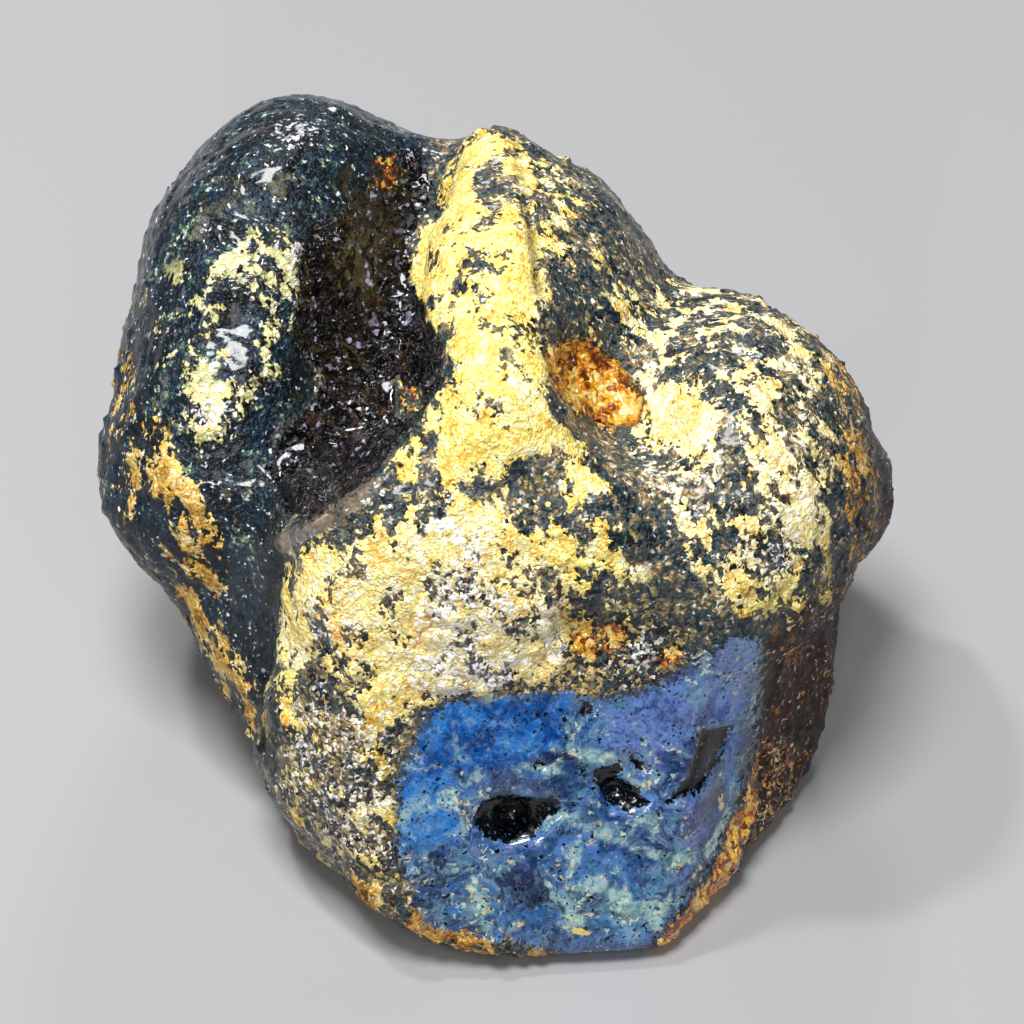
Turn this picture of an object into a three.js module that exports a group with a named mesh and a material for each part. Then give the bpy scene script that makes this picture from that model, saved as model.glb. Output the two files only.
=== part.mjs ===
// Rough blue amber: one nugget that a few lobes of resin grew together into, with a crust all over
// it and one polished window at its front. Millimetres, +Z up. The origin is on the surface that
// the nugget rests on, under the middle of its bounding box. The window looks along -Y.
import * as THREE from "three";
import { ImprovedNoise } from "three/addons/math/ImprovedNoise.js";

// Driving dimensions
const WIDTH = 68.6; // along X, from the left lobe's flank to the nub on the right
const LENGTH = 70.9; // along Y, from the window's foot to the back of the left lobe
const HEIGHT = 47.5; // along Z, from the surface it rests on to the crest of the ridge

// The skin of triangles
const CELL = 1.95; // mm, the spacing of the grid that finds the skin, and about its triangles' size
const EVENING_PASSES = 12; // rounds that even the triangles out
const LAST_PASSES = 6; // rounds at the end that only lay the points on the nugget
const LONGEST_MOVE = 1; // mm that a point moves towards the nugget in one round
const SLOPE_STEP = 0.05; // mm, over which the field's slope is measured

// The forms are laid out in mm at the size of the nugget in the photograph, inside this box. The
// finished skin is then scaled to the driving dimensions.
const LAYOUT = new THREE.Box3(new THREE.Vector3(-41, -36, -3.5), new THREE.Vector3(39, 46, 54));

// The nugget's forms, in the order in which they are laid down. A lobe is a round lump of resin that
// joins what is there, with its half-sizes and its turn about Z in degrees. A face cuts off what lies
// beyond a plane. A hollow is a round channel along a path, with its radius at each point. blend is
// how softly, in mm, a form meets what is there.
const FORMS = [
  { kind: "lobe", name: "body", at: [0, 2.2, 18.9], half: [25, 26.6, 19.8], turn: 0, blend: 6 },
  { kind: "lobe", name: "foot", at: [4.9, -10.2, 10.6], half: [24, 24.8, 21], turn: 0, blend: 6 },
  { kind: "lobe", name: "toe", at: [10, -19.5, 8], half: [12, 11.5, 11], turn: 0, blend: 4 },
  { kind: "face", name: "window", at: [5.6, -25.3, 11], out: [0.09, -0.88, 0.47], blend: 1 },
  { kind: "face", name: "under the toe", at: [8, -28.9, 0], out: [-0.06, -0.5, -0.86], blend: 2.5 },
  { kind: "face", name: "right wall", at: [17.9, -17.3, 23.9], out: [0.84, -0.55, 0.12], blend: 1.5 },
  {
    kind: "lobe",
    name: "left lobe, back",
    at: [-20, 20.8, 26.4],
    half: [12.6, 20.4, 19.8],
    turn: -19,
    blend: 4,
  },
  {
    kind: "lobe",
    name: "left lobe, front",
    at: [-25.2, 5.8, 24],
    half: [9.9, 12.2, 12.6],
    turn: 0,
    blend: 5,
  },
  { kind: "lobe", name: "left lobe, foot", at: [-19, -2, 14], half: [8.8, 10.5, 9.5], turn: 0, blend: 4 },
  { kind: "lobe", name: "saddle", at: [-9.1, 27.4, 23], half: [9.8, 11.4, 17.4], turn: 0, blend: 4 },
  { kind: "lobe", name: "ridge", at: [0, 10.1, 23.9], half: [13.3, 23, 17.9], turn: 0, blend: 4 },
  { kind: "lobe", name: "crest", at: [-0.8, 10.8, 34.5], half: [8.4, 23, 12], turn: 0, blend: 5 },
  { kind: "lobe", name: "back right", at: [5.8, 15.6, 24.6], half: [7.8, 18, 17.5], turn: 0, blend: 5 },
  { kind: "lobe", name: "shoulder, back", at: [14.5, 9.4, 22.4], half: [6.8, 12, 13.2], turn: 0, blend: 4 },
  { kind: "lobe", name: "shoulder", at: [18.4, 1.4, 25.9], half: [12, 16.4, 14.6], turn: 0, blend: 4 },
  { kind: "lobe", name: "nub", at: [28.4, 6.2, 20.4], half: [4.6, 6.4, 6.6], turn: 0, blend: 2.5 },
  {
    kind: "hollow",
    name: "valley between the left lobe and the ridge",
    path: [[-6.5, 27, 44.5], [-9.3, 15, 38.6], [-12.2, 0, 36.6], [-17.5, -9.4, 36]],
    radii: [2.4, 4.4, 5.2, 2.9],
    blend: 3,
  },
  { kind: "lobe", name: "left foot", at: [-11.4, -11.6, 11], half: [11, 11.8, 13], turn: 0, blend: 2.5 },
  { kind: "lobe", name: "brow", at: [9.1, -9, 28], half: [12.4, 8.2, 9.4], turn: 0, blend: 3 },
  { kind: "lobe", name: "front bulge", at: [-3.7, -6.7, 24.8], half: [17, 12.2, 13.2], turn: 0, blend: 2 },
];

// Ribs, grooves and pits along the skin: how far it rises or sinks in mm, over what width in mm.
const RELIEFS = [
  { name: "crest line", path: [[-1.4, 26, 42], [-2.1, 7.2, 45], [-1.4, -5.8, 43]], width: 4.5, rise: 0.7 },
  { name: "crack beside the crest", path: [[1.4, 23, 43], [1.6, 7.2, 45]], width: 1.5, rise: -0.4 },
  { name: "valley lip", path: [[-7, -2.2, 39], [-11, -10.8, 38.6], [-19, -12.2, 33]], width: 2.5, rise: 1.4 },
  {
    name: "left branch",
    path: [[-1.4, -5.8, 42.3], [-7.7, -12.2, 38.6], [-16.8, -15, 29.4]],
    width: 3.5,
    rise: 1.1,
  },
  {
    name: "right branch",
    path: [[-1.4, -5.8, 42.3], [4.2, -8.6, 40], [9.1, -12.2, 36.8]],
    width: 4,
    rise: 1,
  },
  { name: "side slope", path: [[6.3, 0, 39.6], [9.8, -5.8, 37.7], [11.9, -13, 34]], width: 4, rise: -1.4 },
  { name: "amber pit", path: [[6.3, -0.7, 39.6]], width: 4, rise: -1.6 },
  { name: "hollow over the window", path: [[5, -16.5, 27], [12, -16.5, 27.5]], width: 3, rise: -1.3 },
  {
    name: "lobe groove",
    path: [[-20, 16.6, 45.5], [-17, 16.6, 44.6], [-14, 19.4, 43]],
    width: 2.6,
    rise: -1.5,
  },
  { name: "dent in the left lobe", path: [[-22.5, 12.2, 44]], width: 3, rise: -1.1 },
  {
    name: "crease",
    path: [[-18.9, -12.2, 32.2], [-20.3, -12.2, 23.5], [-20, -13, 9.2]],
    width: 2.4,
    rise: -1.3,
  },
  {
    name: "left corner",
    path: [[-16.2, -15.8, 28.5], [-17, -16.6, 18.4], [-16, -17.5, 8]],
    width: 3.6,
    rise: 0.7,
  },
  { name: "knob on the shoulder", path: [[19.4, 13.6, 34]], width: 2.6, rise: 1.5 },
  { name: "recess under the shoulder", path: [[20, -10, 20], [24, -3, 16]], width: 4, rise: -1.2 },
  { name: "ledge on the right wall", path: [[19, -14, 13], [24, -4, 10]], width: 2.4, rise: 1 },
  { name: "left pit in the window", path: [[0, -25, 13.6]], width: 2, rise: -1.6 },
  { name: "right pit in the window", path: [[9.1, -23.4, 15.5]], width: 1.8, rise: -1.2 },
  { name: "gash in the window", path: [[15.6, -19.5, 18.5], [17.6, -17.6, 21.5]], width: 1.6, rise: -0.7 },
  { name: "ledge on the back", path: [[-6, 38, 24], [6, 33, 22], [16, 26, 20]], width: 3, rise: 1.6 },
  { name: "groove under that ledge", path: [[-4, 38, 15], [8, 33, 13], [18, 24, 13]], width: 3, rise: -1.5 },
  { name: "dent in the back", path: [[2, 35, 32]], width: 4, rise: -1.6 },
  { name: "fold behind the nub", path: [[24, 16, 30], [26, 18, 18], [22, 20, 8]], width: 2.8, rise: -1.5 },
  { name: "dent in the left flank", path: [[-34, 12, 24]], width: 4, rise: -1.3 },
  {
    name: "fold in the left flank",
    path: [[-32, -2, 30], [-33, 6, 20], [-29, 14, 12]],
    width: 2.4,
    rise: -1,
  },
];

// Uneven swell of the crust: wavelength and height in mm. The start is the spot of the noise, in
// wavelengths, that lies at the layout's origin.
const SWELLS = [
  { length: 17, height: 1.1 },
  { length: 7, height: 0.5 },
  { length: 3.8, height: 0.25 },
];
const SWELL_START = new THREE.Vector3(9, 5, 3);
const CALM = { share: 0.12, near: 0.4, far: 2.2 }; // the swell that is left on the window, in mm off it

// The underside rises in shallow dips, so that the nugget rests on flat patches between them:
// wavelength and height in mm, and what is taken off the noise, so that fewer dips are left. Points
// within SNAP mm of the surface it rests on are laid on it.
const UNDERSIDE = { length: 17, height: 2.6, level: -0.05 };
const UNDERSIDE_START = new THREE.Vector3(5.3, 1.6, 2.5);
const SNAP = 0.02;

const X_AXIS = new THREE.Vector3(1, 0, 0);
const Y_AXIS = new THREE.Vector3(0, 1, 0);
const Z_AXIS = new THREE.Vector3(0, 0, 1);

function smoothMin(a, b, blend) {
  const share = Math.max(blend - Math.abs(a - b), 0) / blend;
  return Math.min(a, b) - (share * share * blend) / 4;
}

const smoothMax = (a, b, blend) => -smoothMin(-a, -b, blend);

// Each of these returns a function of a point, about its distance in mm from the form's surface:
// negative inside the form.
function lobeField({ at, half, turn }) {
  const toLobe = new THREE.Matrix4()
    .makeRotationZ(THREE.MathUtils.degToRad(turn))
    .setPosition(...at)
    .invert();
  const [rx, ry, rz] = half;
  const q = new THREE.Vector3();
  return (p) => {
    q.copy(p).applyMatrix4(toLobe);
    const reach = Math.hypot(q.x / rx, q.y / ry, q.z / rz);
    const steepness = Math.hypot(q.x / rx ** 2, q.y / ry ** 2, q.z / rz ** 2);
    return steepness > 0 ? (reach * (reach - 1)) / steepness : -Math.min(rx, ry, rz);
  };
}

// A path of one point is a spot.
function channelField({ path, radii }) {
  const points = path.map((at) => new THREE.Vector3(...at));
  const last = points.length - 1;
  const stretches = points.slice(0, Math.max(last, 1)).map((from, i) => {
    const next = Math.min(i + 1, last);
    return { line: new THREE.Line3(from, points[next]), from: radii[i], to: radii[next] };
  });
  const nearest = new THREE.Vector3();
  return (p) => {
    let least = Infinity;
    for (const { line, from, to } of stretches) {
      const share = last ? line.closestPointToPointParameter(p, true) : 0;
      const radius = THREE.MathUtils.lerp(from, to, share);
      least = Math.min(least, line.at(share, nearest).distanceTo(p) - radius);
    }
    return least;
  };
}

function faceField({ at, out }) {
  const side = new THREE.Plane().setFromNormalAndCoplanarPoint(
    new THREE.Vector3(...out).normalize(),
    new THREE.Vector3(...at),
  );
  return (p) => side.distanceToPoint(p);
}

const MAKERS = { lobe: lobeField, hollow: channelField, face: faceField };
const forms = FORMS.map((form) => ({ ...form, field: MAKERS[form.kind](form) }));
const windowFace = forms.find((form) => form.name === "window").field;
const reliefs = RELIEFS.map((relief) => ({
  ...relief,
  distance: channelField({ path: relief.path, radii: relief.path.map(() => 0) }),
}));

function relief(p) {
  let sum = 0;
  for (const { distance, width, rise } of reliefs) {
    sum += rise * Math.exp(-((distance(p) / width) ** 2));
  }
  return sum;
}

const noise = new ImprovedNoise();
function swell(p) {
  let sum = 0;
  for (const { length, height } of SWELLS) {
    const spot = SWELL_START.clone().addScaledVector(p, 1 / length);
    sum += height * noise.noise(spot.x, spot.y, spot.z);
  }
  const off = THREE.MathUtils.smoothstep(Math.abs(windowFace(p)), CALM.near, CALM.far);
  return sum * THREE.MathUtils.lerp(CALM.share, 1, off);
}

function undersideHeight(p) {
  const { length, height, level } = UNDERSIDE;
  const { x, y, z } = UNDERSIDE_START;
  return height * Math.max(noise.noise(x + p.x / length, y + p.y / length, z) + level, 0);
}

// The whole nugget, resting on the plane Z = 0
function nuggetField(p) {
  let d = forms[0].field(p);
  for (const { kind, field, blend } of forms.slice(1)) {
    if (kind === "lobe") d = smoothMin(d, field(p), blend);
    if (kind === "hollow") d = smoothMax(d, -field(p), blend);
    if (kind === "face") d = smoothMax(d, field(p), blend);
  }
  return Math.max(d + swell(p) - relief(p), undersideHeight(p) - p.z);
}

// Moves a point towards the nugget's surface, across it and never further than LONGEST_MOVE.
function towardsSurface(p) {
  const d = nuggetField(p);
  const rates = [X_AXIS, Y_AXIS, Z_AXIS].map((axis) => {
    const ahead = p.clone().addScaledVector(axis, SLOPE_STEP);
    return (nuggetField(ahead) - d) / SLOPE_STEP;
  });
  const slope = new THREE.Vector3(...rates);
  const move = THREE.MathUtils.clamp(d / slope.length(), -LONGEST_MOVE, LONGEST_MOVE);
  return p.addScaledVector(slope.normalize(), -move);
}

// Calls visit with each i, j, k from the given first number up to below the given ends.
function eachCell(first, ends, visit) {
  for (let k = first; k < ends[2]; k++) {
    for (let j = first; j < ends[1]; j++) {
      for (let i = first; i < ends[0]; i++) visit(i, j, k);
    }
  }
}

// A net over the field's surface: a point in each grid cell that the surface passes through, and
// four-sided faces, each round a grid edge that the surface crosses.
function netOver(field, low, counts) {
  const number = (i, j, k) => i + counts[0] * (j + counts[1] * k);
  const corner = (i, j, k) => new THREE.Vector3(i, j, k).multiplyScalar(CELL).add(low);
  const values = [];
  eachCell(0, counts, (i, j, k) => values.push(field(corner(i, j, k))));
  const steps = [[1, 0, 0], [0, 1, 0], [0, 0, 1]];
  const sums = new Map(); // cell number to the sum and the count of the crossings on its edges
  const faces = [];
  const ends = counts.map((count) => count - 1);
  eachCell(1, ends, (i, j, k) => {
    steps.forEach(([di, dj, dk], axis) => {
      const here = values[number(i, j, k)];
      const there = values[number(i + di, j + dj, k + dk)];
      if (here < 0 === there < 0) return;
      const crossing = corner(i, j, k).lerp(corner(i + di, j + dj, k + dk), here / (here - there));
      const [bi, bj, bk] = steps[(axis + 1) % 3];
      const [ci, cj, ck] = steps[(axis + 2) % 3];
      const cells = [
        number(i, j, k),
        number(i - bi, j - bj, k - bk),
        number(i - bi - ci, j - bj - cj, k - bk - ck),
        number(i - ci, j - cj, k - ck),
      ];
      for (const cell of cells) {
        if (!sums.has(cell)) sums.set(cell, { sum: new THREE.Vector3(), count: 0 });
        sums.get(cell).sum.add(crossing);
        sums.get(cell).count++;
      }
      faces.push(here < 0 ? cells : cells.reverse());
    });
  });
  const order = new Map([...sums.keys()].map((cell, i) => [cell, i]));
  return {
    points: [...sums.values()].map(({ sum, count }) => sum.divideScalar(count)),
    faces: faces.map((face) => face.map((cell) => order.get(cell))),
  };
}

// The points that share a face's edge with each point
function neighboursOf(faces, count) {
  const found = Array.from({ length: count }, () => new Set());
  for (const face of faces) {
    face.forEach((a, i) => {
      const b = face[(i + 1) % face.length];
      found[a].add(b);
      found[b].add(a);
    });
  }
  return found.map((set) => [...set]);
}

function nuggetGeometry() {
  const size = LAYOUT.getSize(new THREE.Vector3());
  const counts = size.toArray().map((length) => Math.ceil(length / CELL) + 1);
  const net = netOver(nuggetField, LAYOUT.min, counts);
  const neighbours = neighboursOf(net.faces, net.points.length);
  let points = net.points;
  for (let pass = 0; pass < EVENING_PASSES; pass++) {
    points = points.map((_, i) => {
      const middle = new THREE.Vector3();
      for (const j of neighbours[i]) middle.add(points[j]);
      return towardsSurface(middle.divideScalar(neighbours[i].length));
    });
  }
  for (let pass = 0; pass < LAST_PASSES; pass++) points = points.map(towardsSurface);
  for (const p of points) {
    if (p.z < SNAP) p.z = 0;
  }
  const index = net.faces.flatMap(([a, b, c, d]) =>
    points[a].distanceTo(points[c]) < points[b].distanceTo(points[d])
      ? [a, b, c, a, c, d]
      : [a, b, d, b, c, d],
  );
  const geometry = new THREE.BufferGeometry().setFromPoints(points).setIndex(index);
  geometry.computeBoundingBox();
  const laidOut = geometry.boundingBox.getSize(new THREE.Vector3());
  const middle = geometry.boundingBox.getCenter(new THREE.Vector3());
  geometry.translate(-middle.x, -middle.y, -geometry.boundingBox.min.z);
  geometry.scale(WIDTH / laidOut.x, LENGTH / laidOut.y, HEIGHT / laidOut.z);
  return geometry;
}

const nugget = new THREE.Mesh(
  nuggetGeometry(),
  new THREE.MeshStandardMaterial({ color: 0x8a6a35, roughness: 0.45, metalness: 0 }),
);
nugget.name = "amber_nugget";

const part = new THREE.Group();
part.add(nugget);

export default part;
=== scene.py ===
# %% [markdown]
# # Rough blue amber
# One raw nugget of blue amber, about as big as a child's fist. Several lobes of resin ran together
# and hardened as one piece. A crust of yellow sediment and dark weathered skin covers it, and one
# flat window was ground at the front, where the blue resin shows. This lesson dresses the nugget:
# it makes a fine skin over the plain model, gives it grain, chips and pits, paints it by patches,
# and builds four finishes for it: the crusted skin, the blue window, the clear amber and the dark
# glassy breaks.

import math

import bmesh
import bpy
import numpy as np
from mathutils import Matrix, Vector, noise
from mathutils.bvhtree import BVHTree
from mathutils.kdtree import KDTree


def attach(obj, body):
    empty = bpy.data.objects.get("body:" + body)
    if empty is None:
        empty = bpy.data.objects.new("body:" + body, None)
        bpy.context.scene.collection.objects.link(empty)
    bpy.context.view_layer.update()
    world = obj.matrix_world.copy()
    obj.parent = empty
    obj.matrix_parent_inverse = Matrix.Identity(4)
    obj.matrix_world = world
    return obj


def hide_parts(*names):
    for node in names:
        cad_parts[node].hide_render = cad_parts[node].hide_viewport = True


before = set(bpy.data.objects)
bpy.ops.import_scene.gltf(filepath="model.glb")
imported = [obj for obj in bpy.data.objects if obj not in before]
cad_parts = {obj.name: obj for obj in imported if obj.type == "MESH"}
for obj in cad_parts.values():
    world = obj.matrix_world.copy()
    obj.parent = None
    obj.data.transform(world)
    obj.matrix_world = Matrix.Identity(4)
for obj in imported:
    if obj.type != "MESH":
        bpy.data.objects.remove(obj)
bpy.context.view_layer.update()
MM = 0.001

# %% [markdown]
# ## The camera
# The photograph looks down on the nugget at 45 degrees from the front. A long lens from 35 cm away
# gives the same gentle perspective. The camera comes first, because the patches of crust further
# down are placed by what this camera sees.

# %% Camera
PHOTO_PIXELS = 1024
PIXELS_PER_MM = 11.8
VIEW_ELEVATION = math.radians(45)
VIEW_DISTANCE = 350 * MM
SENSOR = 36
AIM = Vector((1.3, -5.2, 24)) * MM

towards_camera = Vector((0, -math.cos(VIEW_ELEVATION), math.sin(VIEW_ELEVATION)))
camera = bpy.data.objects.new("camera", bpy.data.cameras.new("camera"))
bpy.context.scene.collection.objects.link(camera)
bpy.context.scene.camera = camera
camera.location = AIM + towards_camera * VIEW_DISTANCE
camera.rotation_mode = "QUATERNION"
camera.rotation_quaternion = (-towards_camera).to_track_quat("-Z", "Y")
camera.data.sensor_width = SENSOR
camera.data.lens = SENSOR * VIEW_DISTANCE / MM * PIXELS_PER_MM / PHOTO_PIXELS
camera.data.clip_start = 0.01
print("lens", round(camera.data.lens, 1), "mm")

# %% [markdown]
# ## Floor and light
# A pale floor and large soft lamps, as on a photographer's table. The main lamp hangs over the
# nugget, so that its top is bright and its flanks fall into shade. A second one behind gives the wet
# skin its glints, and a weak one at the front keeps the window readable.

# %% Floor and lamps
FLOOR_SIZE = 3.0
FLOOR_GREY = (0.36, 0.36, 0.37, 1)
FLOOR_ROUGHNESS = 0.9
DAYLIGHT = (0.9, 0.95, 1.0, 1)
DAYLIGHT_STRENGTH = 0.06
bpy.ops.mesh.primitive_plane_add(size=FLOOR_SIZE)
floor = bpy.context.object
floor.name = "floor"
floor_paint = bpy.data.materials.new("pale floor")
floor_paint.use_nodes = True
floor_shader = floor_paint.node_tree.nodes["Principled BSDF"]
floor_shader.inputs["Base Color"].default_value = FLOOR_GREY
floor_shader.inputs["Roughness"].default_value = FLOOR_ROUGHNESS
floor.data.materials.append(floor_paint)

LAMPS = {
    "overhead lamp": {"at": (-0.06, -0.08, 0.52), "size": 0.16, "watts": 2.8},
    "back lamp": {"at": (0.03, 0.50, 0.33), "size": 0.11, "watts": 1.0},
    "left lamp": {"at": (-0.48, -0.02, 0.34), "size": 0.14, "watts": 0.3},
    "upper glint lamp": {"at": (-0.16, 0.10, 0.44), "size": 0.035, "watts": 0.7},
    "lower glint lamp": {"at": (-0.06, -0.48, 0.24), "size": 0.05, "watts": 0.45},
    "front lamp": {"at": (0.10, -0.38, 0.48), "size": 0.20, "watts": 0.4},
}


def hang_lamp(name, at, size, watts):
    lamp = bpy.data.objects.new(name, bpy.data.lights.new(name, "AREA"))
    lamp.data.size = size
    lamp.data.energy = watts
    lamp.location = at
    lamp.rotation_mode = "QUATERNION"
    lamp.rotation_quaternion = (AIM - lamp.location).to_track_quat("-Z", "Y")
    bpy.context.scene.collection.objects.link(lamp)


for lamp_name, lamp in LAMPS.items():
    hang_lamp(lamp_name, **lamp)

world = bpy.data.worlds.new("studio")
world.use_nodes = True
world.node_tree.nodes["Background"].inputs["Color"].default_value = DAYLIGHT
world.node_tree.nodes["Background"].inputs["Strength"].default_value = DAYLIGHT_STRENGTH
bpy.context.scene.world = world
bpy.context.scene.view_settings.view_transform = "Standard"
print(len(LAMPS), "lamps over a floor", FLOOR_SIZE, "m wide")

# %% [markdown]
# ## A fine skin over the plain model
# The plain model has about 9400 flat triangles. Subdividing rounds them off, and a voxel remesh
# then gives even squares of under half a millimetre, which later steps can push in and out.
# Sculpting by hand would do the same, but code gives the same skin every time.

# %% Fine skin
VOXEL = 0.44 * MM
SMOOTH_FACTOR = 0.5
SMOOTH_ROUNDS = 5


def fine_copy(source, name):
    """A copy of the object with its facets rounded off and its surface in small even squares."""
    piece = bpy.data.objects.new(name, source.data.copy())
    bpy.context.scene.collection.objects.link(piece)
    piece.data.materials.clear()
    surface = bmesh.new()
    surface.from_mesh(piece.data)
    bmesh.ops.remove_doubles(surface, verts=surface.verts, dist=0.001 * MM)
    surface.to_mesh(piece.data)
    surface.free()
    rounding = piece.modifiers.new("rounding", "SUBSURF")
    rounding.levels = rounding.render_levels = 2
    squares = piece.modifiers.new("squares", "REMESH")
    squares.mode = "VOXEL"
    squares.voxel_size = VOXEL
    evening = piece.modifiers.new("evening", "SMOOTH")
    evening.factor = SMOOTH_FACTOR
    evening.iterations = SMOOTH_ROUNDS
    shaped = piece.evaluated_get(bpy.context.evaluated_depsgraph_get())
    fine = bpy.data.meshes.new_from_object(shaped)
    piece.modifiers.clear()
    piece.data = fine
    return piece


nugget = fine_copy(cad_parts["amber_nugget"], "nugget")
skin = nugget.data


def read_points():
    flat = np.empty(len(skin.vertices) * 3, np.float32)
    skin.vertices.foreach_get("co", flat)
    return flat.reshape(-1, 3).astype(float) / MM


def read_normals():
    flat = np.empty(len(skin.vertices) * 3, np.float32)
    skin.vertex_normals.foreach_get("vector", flat)
    return flat.reshape(-1, 3).astype(float)


def write_points(points):
    skin.vertices.foreach_set("co", (points * MM).astype(np.float32).ravel())
    skin.update()


points = read_points()
normals = read_normals()
print(len(points), "points,", 2 * len(skin.polygons), "triangles")

# %% [markdown]
# ## From the photograph to the skin
# Patches are placed by pixels of the photograph. A ray from the camera through the pixel meets the
# skin at one point, and from there on the patch belongs to the skin: it stays where it is, whatever
# the angle it is seen from. All sizes here are in mm.

# %% Rays and distances
bvh = BVHTree.FromPolygons(
    [Vector(p) for p in points], [tuple(face.vertices) for face in skin.polygons]
)
EYE = camera.location / MM
AHEAD = -towards_camera
UP = Vector((0, math.sin(VIEW_ELEVATION), math.cos(VIEW_ELEVATION)))
STROKE_STEP = 7  # pixels between the rays along a stroke


def on_skin(x, y):
    """The point where the ray through this pixel meets the skin, or None."""
    half = PHOTO_PIXELS / 2
    across = (x - half) / PIXELS_PER_MM / (VIEW_DISTANCE / MM)
    up = (half - y) / PIXELS_PER_MM / (VIEW_DISTANCE / MM)
    ray = AHEAD + Vector((1, 0, 0)) * across + UP * up
    return bvh.ray_cast(EYE, ray.normalized())[0]


def in_photo(places):
    """The pixel that each place, in mm, has in the photograph."""
    offset = places - np.array(EYE)
    depth = offset @ np.array(AHEAD)
    scale = PIXELS_PER_MM * (VIEW_DISTANCE / MM) / depth
    half = PHOTO_PIXELS / 2
    return np.stack([half + offset[:, 0] * scale, half - offset @ np.array(UP) * scale], 1)


def along_stroke(path):
    """Points on the skin along a line of pixels."""
    found = []
    for start, end in zip(path, path[1:] or path):
        steps = max(1, round(math.dist(start, end) / STROKE_STEP))
        for step in range(steps + 1):
            share = step / steps
            hit = on_skin(*(a + (b - a) * share for a, b in zip(start, end)))
            if hit:
                found.append(hit)
    return np.array(found)


def stroke_mask(path, half_width):
    """1 on the stroke, half at half_width mm from it, and towards 0 outside."""
    line = along_stroke(path)
    if not len(line):
        return np.zeros(len(points))
    nearest = np.full(len(points), np.inf)
    for place in line:
        nearest = np.minimum(nearest, ((points - place) ** 2).sum(1))
    return np.exp(-math.log(2) * nearest / half_width**2)


def smoothstep(value, low, high):
    share = np.clip((value - low) / (high - low), 0, 1)
    return share * share * (3 - 2 * share)


print("the middle of the photograph meets the skin at", [round(v, 1) for v in on_skin(512, 512)])

# %% [markdown]
# ## What the photograph shows, and what it doesn't
# Much of the skin is hidden from the camera. A point is seen when it faces the camera and nothing
# stands in between. Every hidden point remembers the seen point that is nearest to it, so that a
# patch can run on round the edge for a few millimetres before the pattern of the back takes over.

# %% Seen and hidden skin
LIFT = 0.4  # mm off the skin, so that a ray doesn't meet its own start
GRAZING = 0.03
CARRIED = (1.0, 5.0)  # mm past the seen skin, over which the patches fade into the unseen pattern

to_eye = np.array(EYE) - points
to_eye /= np.linalg.norm(to_eye, axis=1)[:, None]
facing = (normals * to_eye).sum(1)
clear_view = np.array([
    bvh.ray_cast(Vector(p + n * LIFT), Vector(e))[0] is None
    for p, n, e in zip(points, normals, to_eye)
])
seen = (facing > GRAZING) & clear_view
print("share of the skin that the photograph shows", round(float(seen.mean()), 2))

seen_points = np.flatnonzero(seen)
seen_tree = KDTree(len(seen_points))
for number, index in enumerate(seen_points):
    seen_tree.insert(points[index], number)
seen_tree.balance()
nearest_seen = np.arange(len(points))
gap = np.zeros(len(points))
for index in np.flatnonzero(~seen):
    _, number, gap[index] = seen_tree.find(points[index])
    nearest_seen[index] = seen_points[number]
hidden = smoothstep(gap, *CARRIED)
print("widest gap to the seen skin", round(float(gap.max()), 1), "mm")

# %% [markdown]
# ## Noise as a sculpting tool
# Rock and resin are rough at every scale. Fractal noise gives lumps and grain, and Voronoi cells
# give flakes, chips and pebbles. The noise helpers return one number for every point of the skin,
# and cells returns three.

# %% Noise helpers
SEED_STEP = Vector((17.3, -9.1, 5.7))


def lumps(size, seed, octaves=3, stretch=(1, 1, 1)):
    """Smooth fractal noise, about -1 to 1, with lumps size mm across."""
    shift = SEED_STEP * seed
    scaled = points / (np.array(stretch) * size)
    return np.array([noise.fractal(Vector(p) + shift, 0.7, 2.1, octaves) for p in scaled])


def cells(size, seed):
    """For Voronoi cells size mm wide: the distance to the cell's edge, its own number from 0 to 1,
    and a tilted flat chip inside it, about -1 to 1."""
    shift = SEED_STEP * seed
    edge, number, chip = [], [], []
    for p in points / size:
        spot = Vector(p) + shift
        distances, centres = noise.voronoi(spot)
        tilt = noise.cell_vector(centres[0] * 7.1)
        edge.append(distances[1] - distances[0])
        number.append(0.5 + 0.5 * noise.cell(centres[0] * 5.3))
        chip.append((spot - centres[0]).dot(tilt))
    return np.array(edge), np.array(number), np.array(chip)


swell_3 = lumps(3.2, 1)
grain_1 = lumps(1.3, 2)
patches_14 = lumps(14, 3, octaves=4)
patches_6 = lumps(6, 4, octaves=3)
CHIP_WIDTH = 1.7  # mm
_, chip_number, chip_tilt = cells(CHIP_WIDTH, 5)
flake_edge, flake_number, flake_tilt = cells(CHIP_WIDTH, 6)
print("noise from", round(float(grain_1.min()), 2), "to", round(float(grain_1.max()), 2))
print("cell numbers from", round(float(flake_number.min()), 2), "to", round(float(flake_number.max()), 2))

# %% [markdown]
# ## The patches
# Each patch is an outline in pixels of the photograph. Before the outline stand its share and the
# softness of its edge in pixels. The share says how much of the skin the crust covers there: 1 is
# solid, and at a half it breaks up into flecks. The finishes tear the soft edges later.

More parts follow.
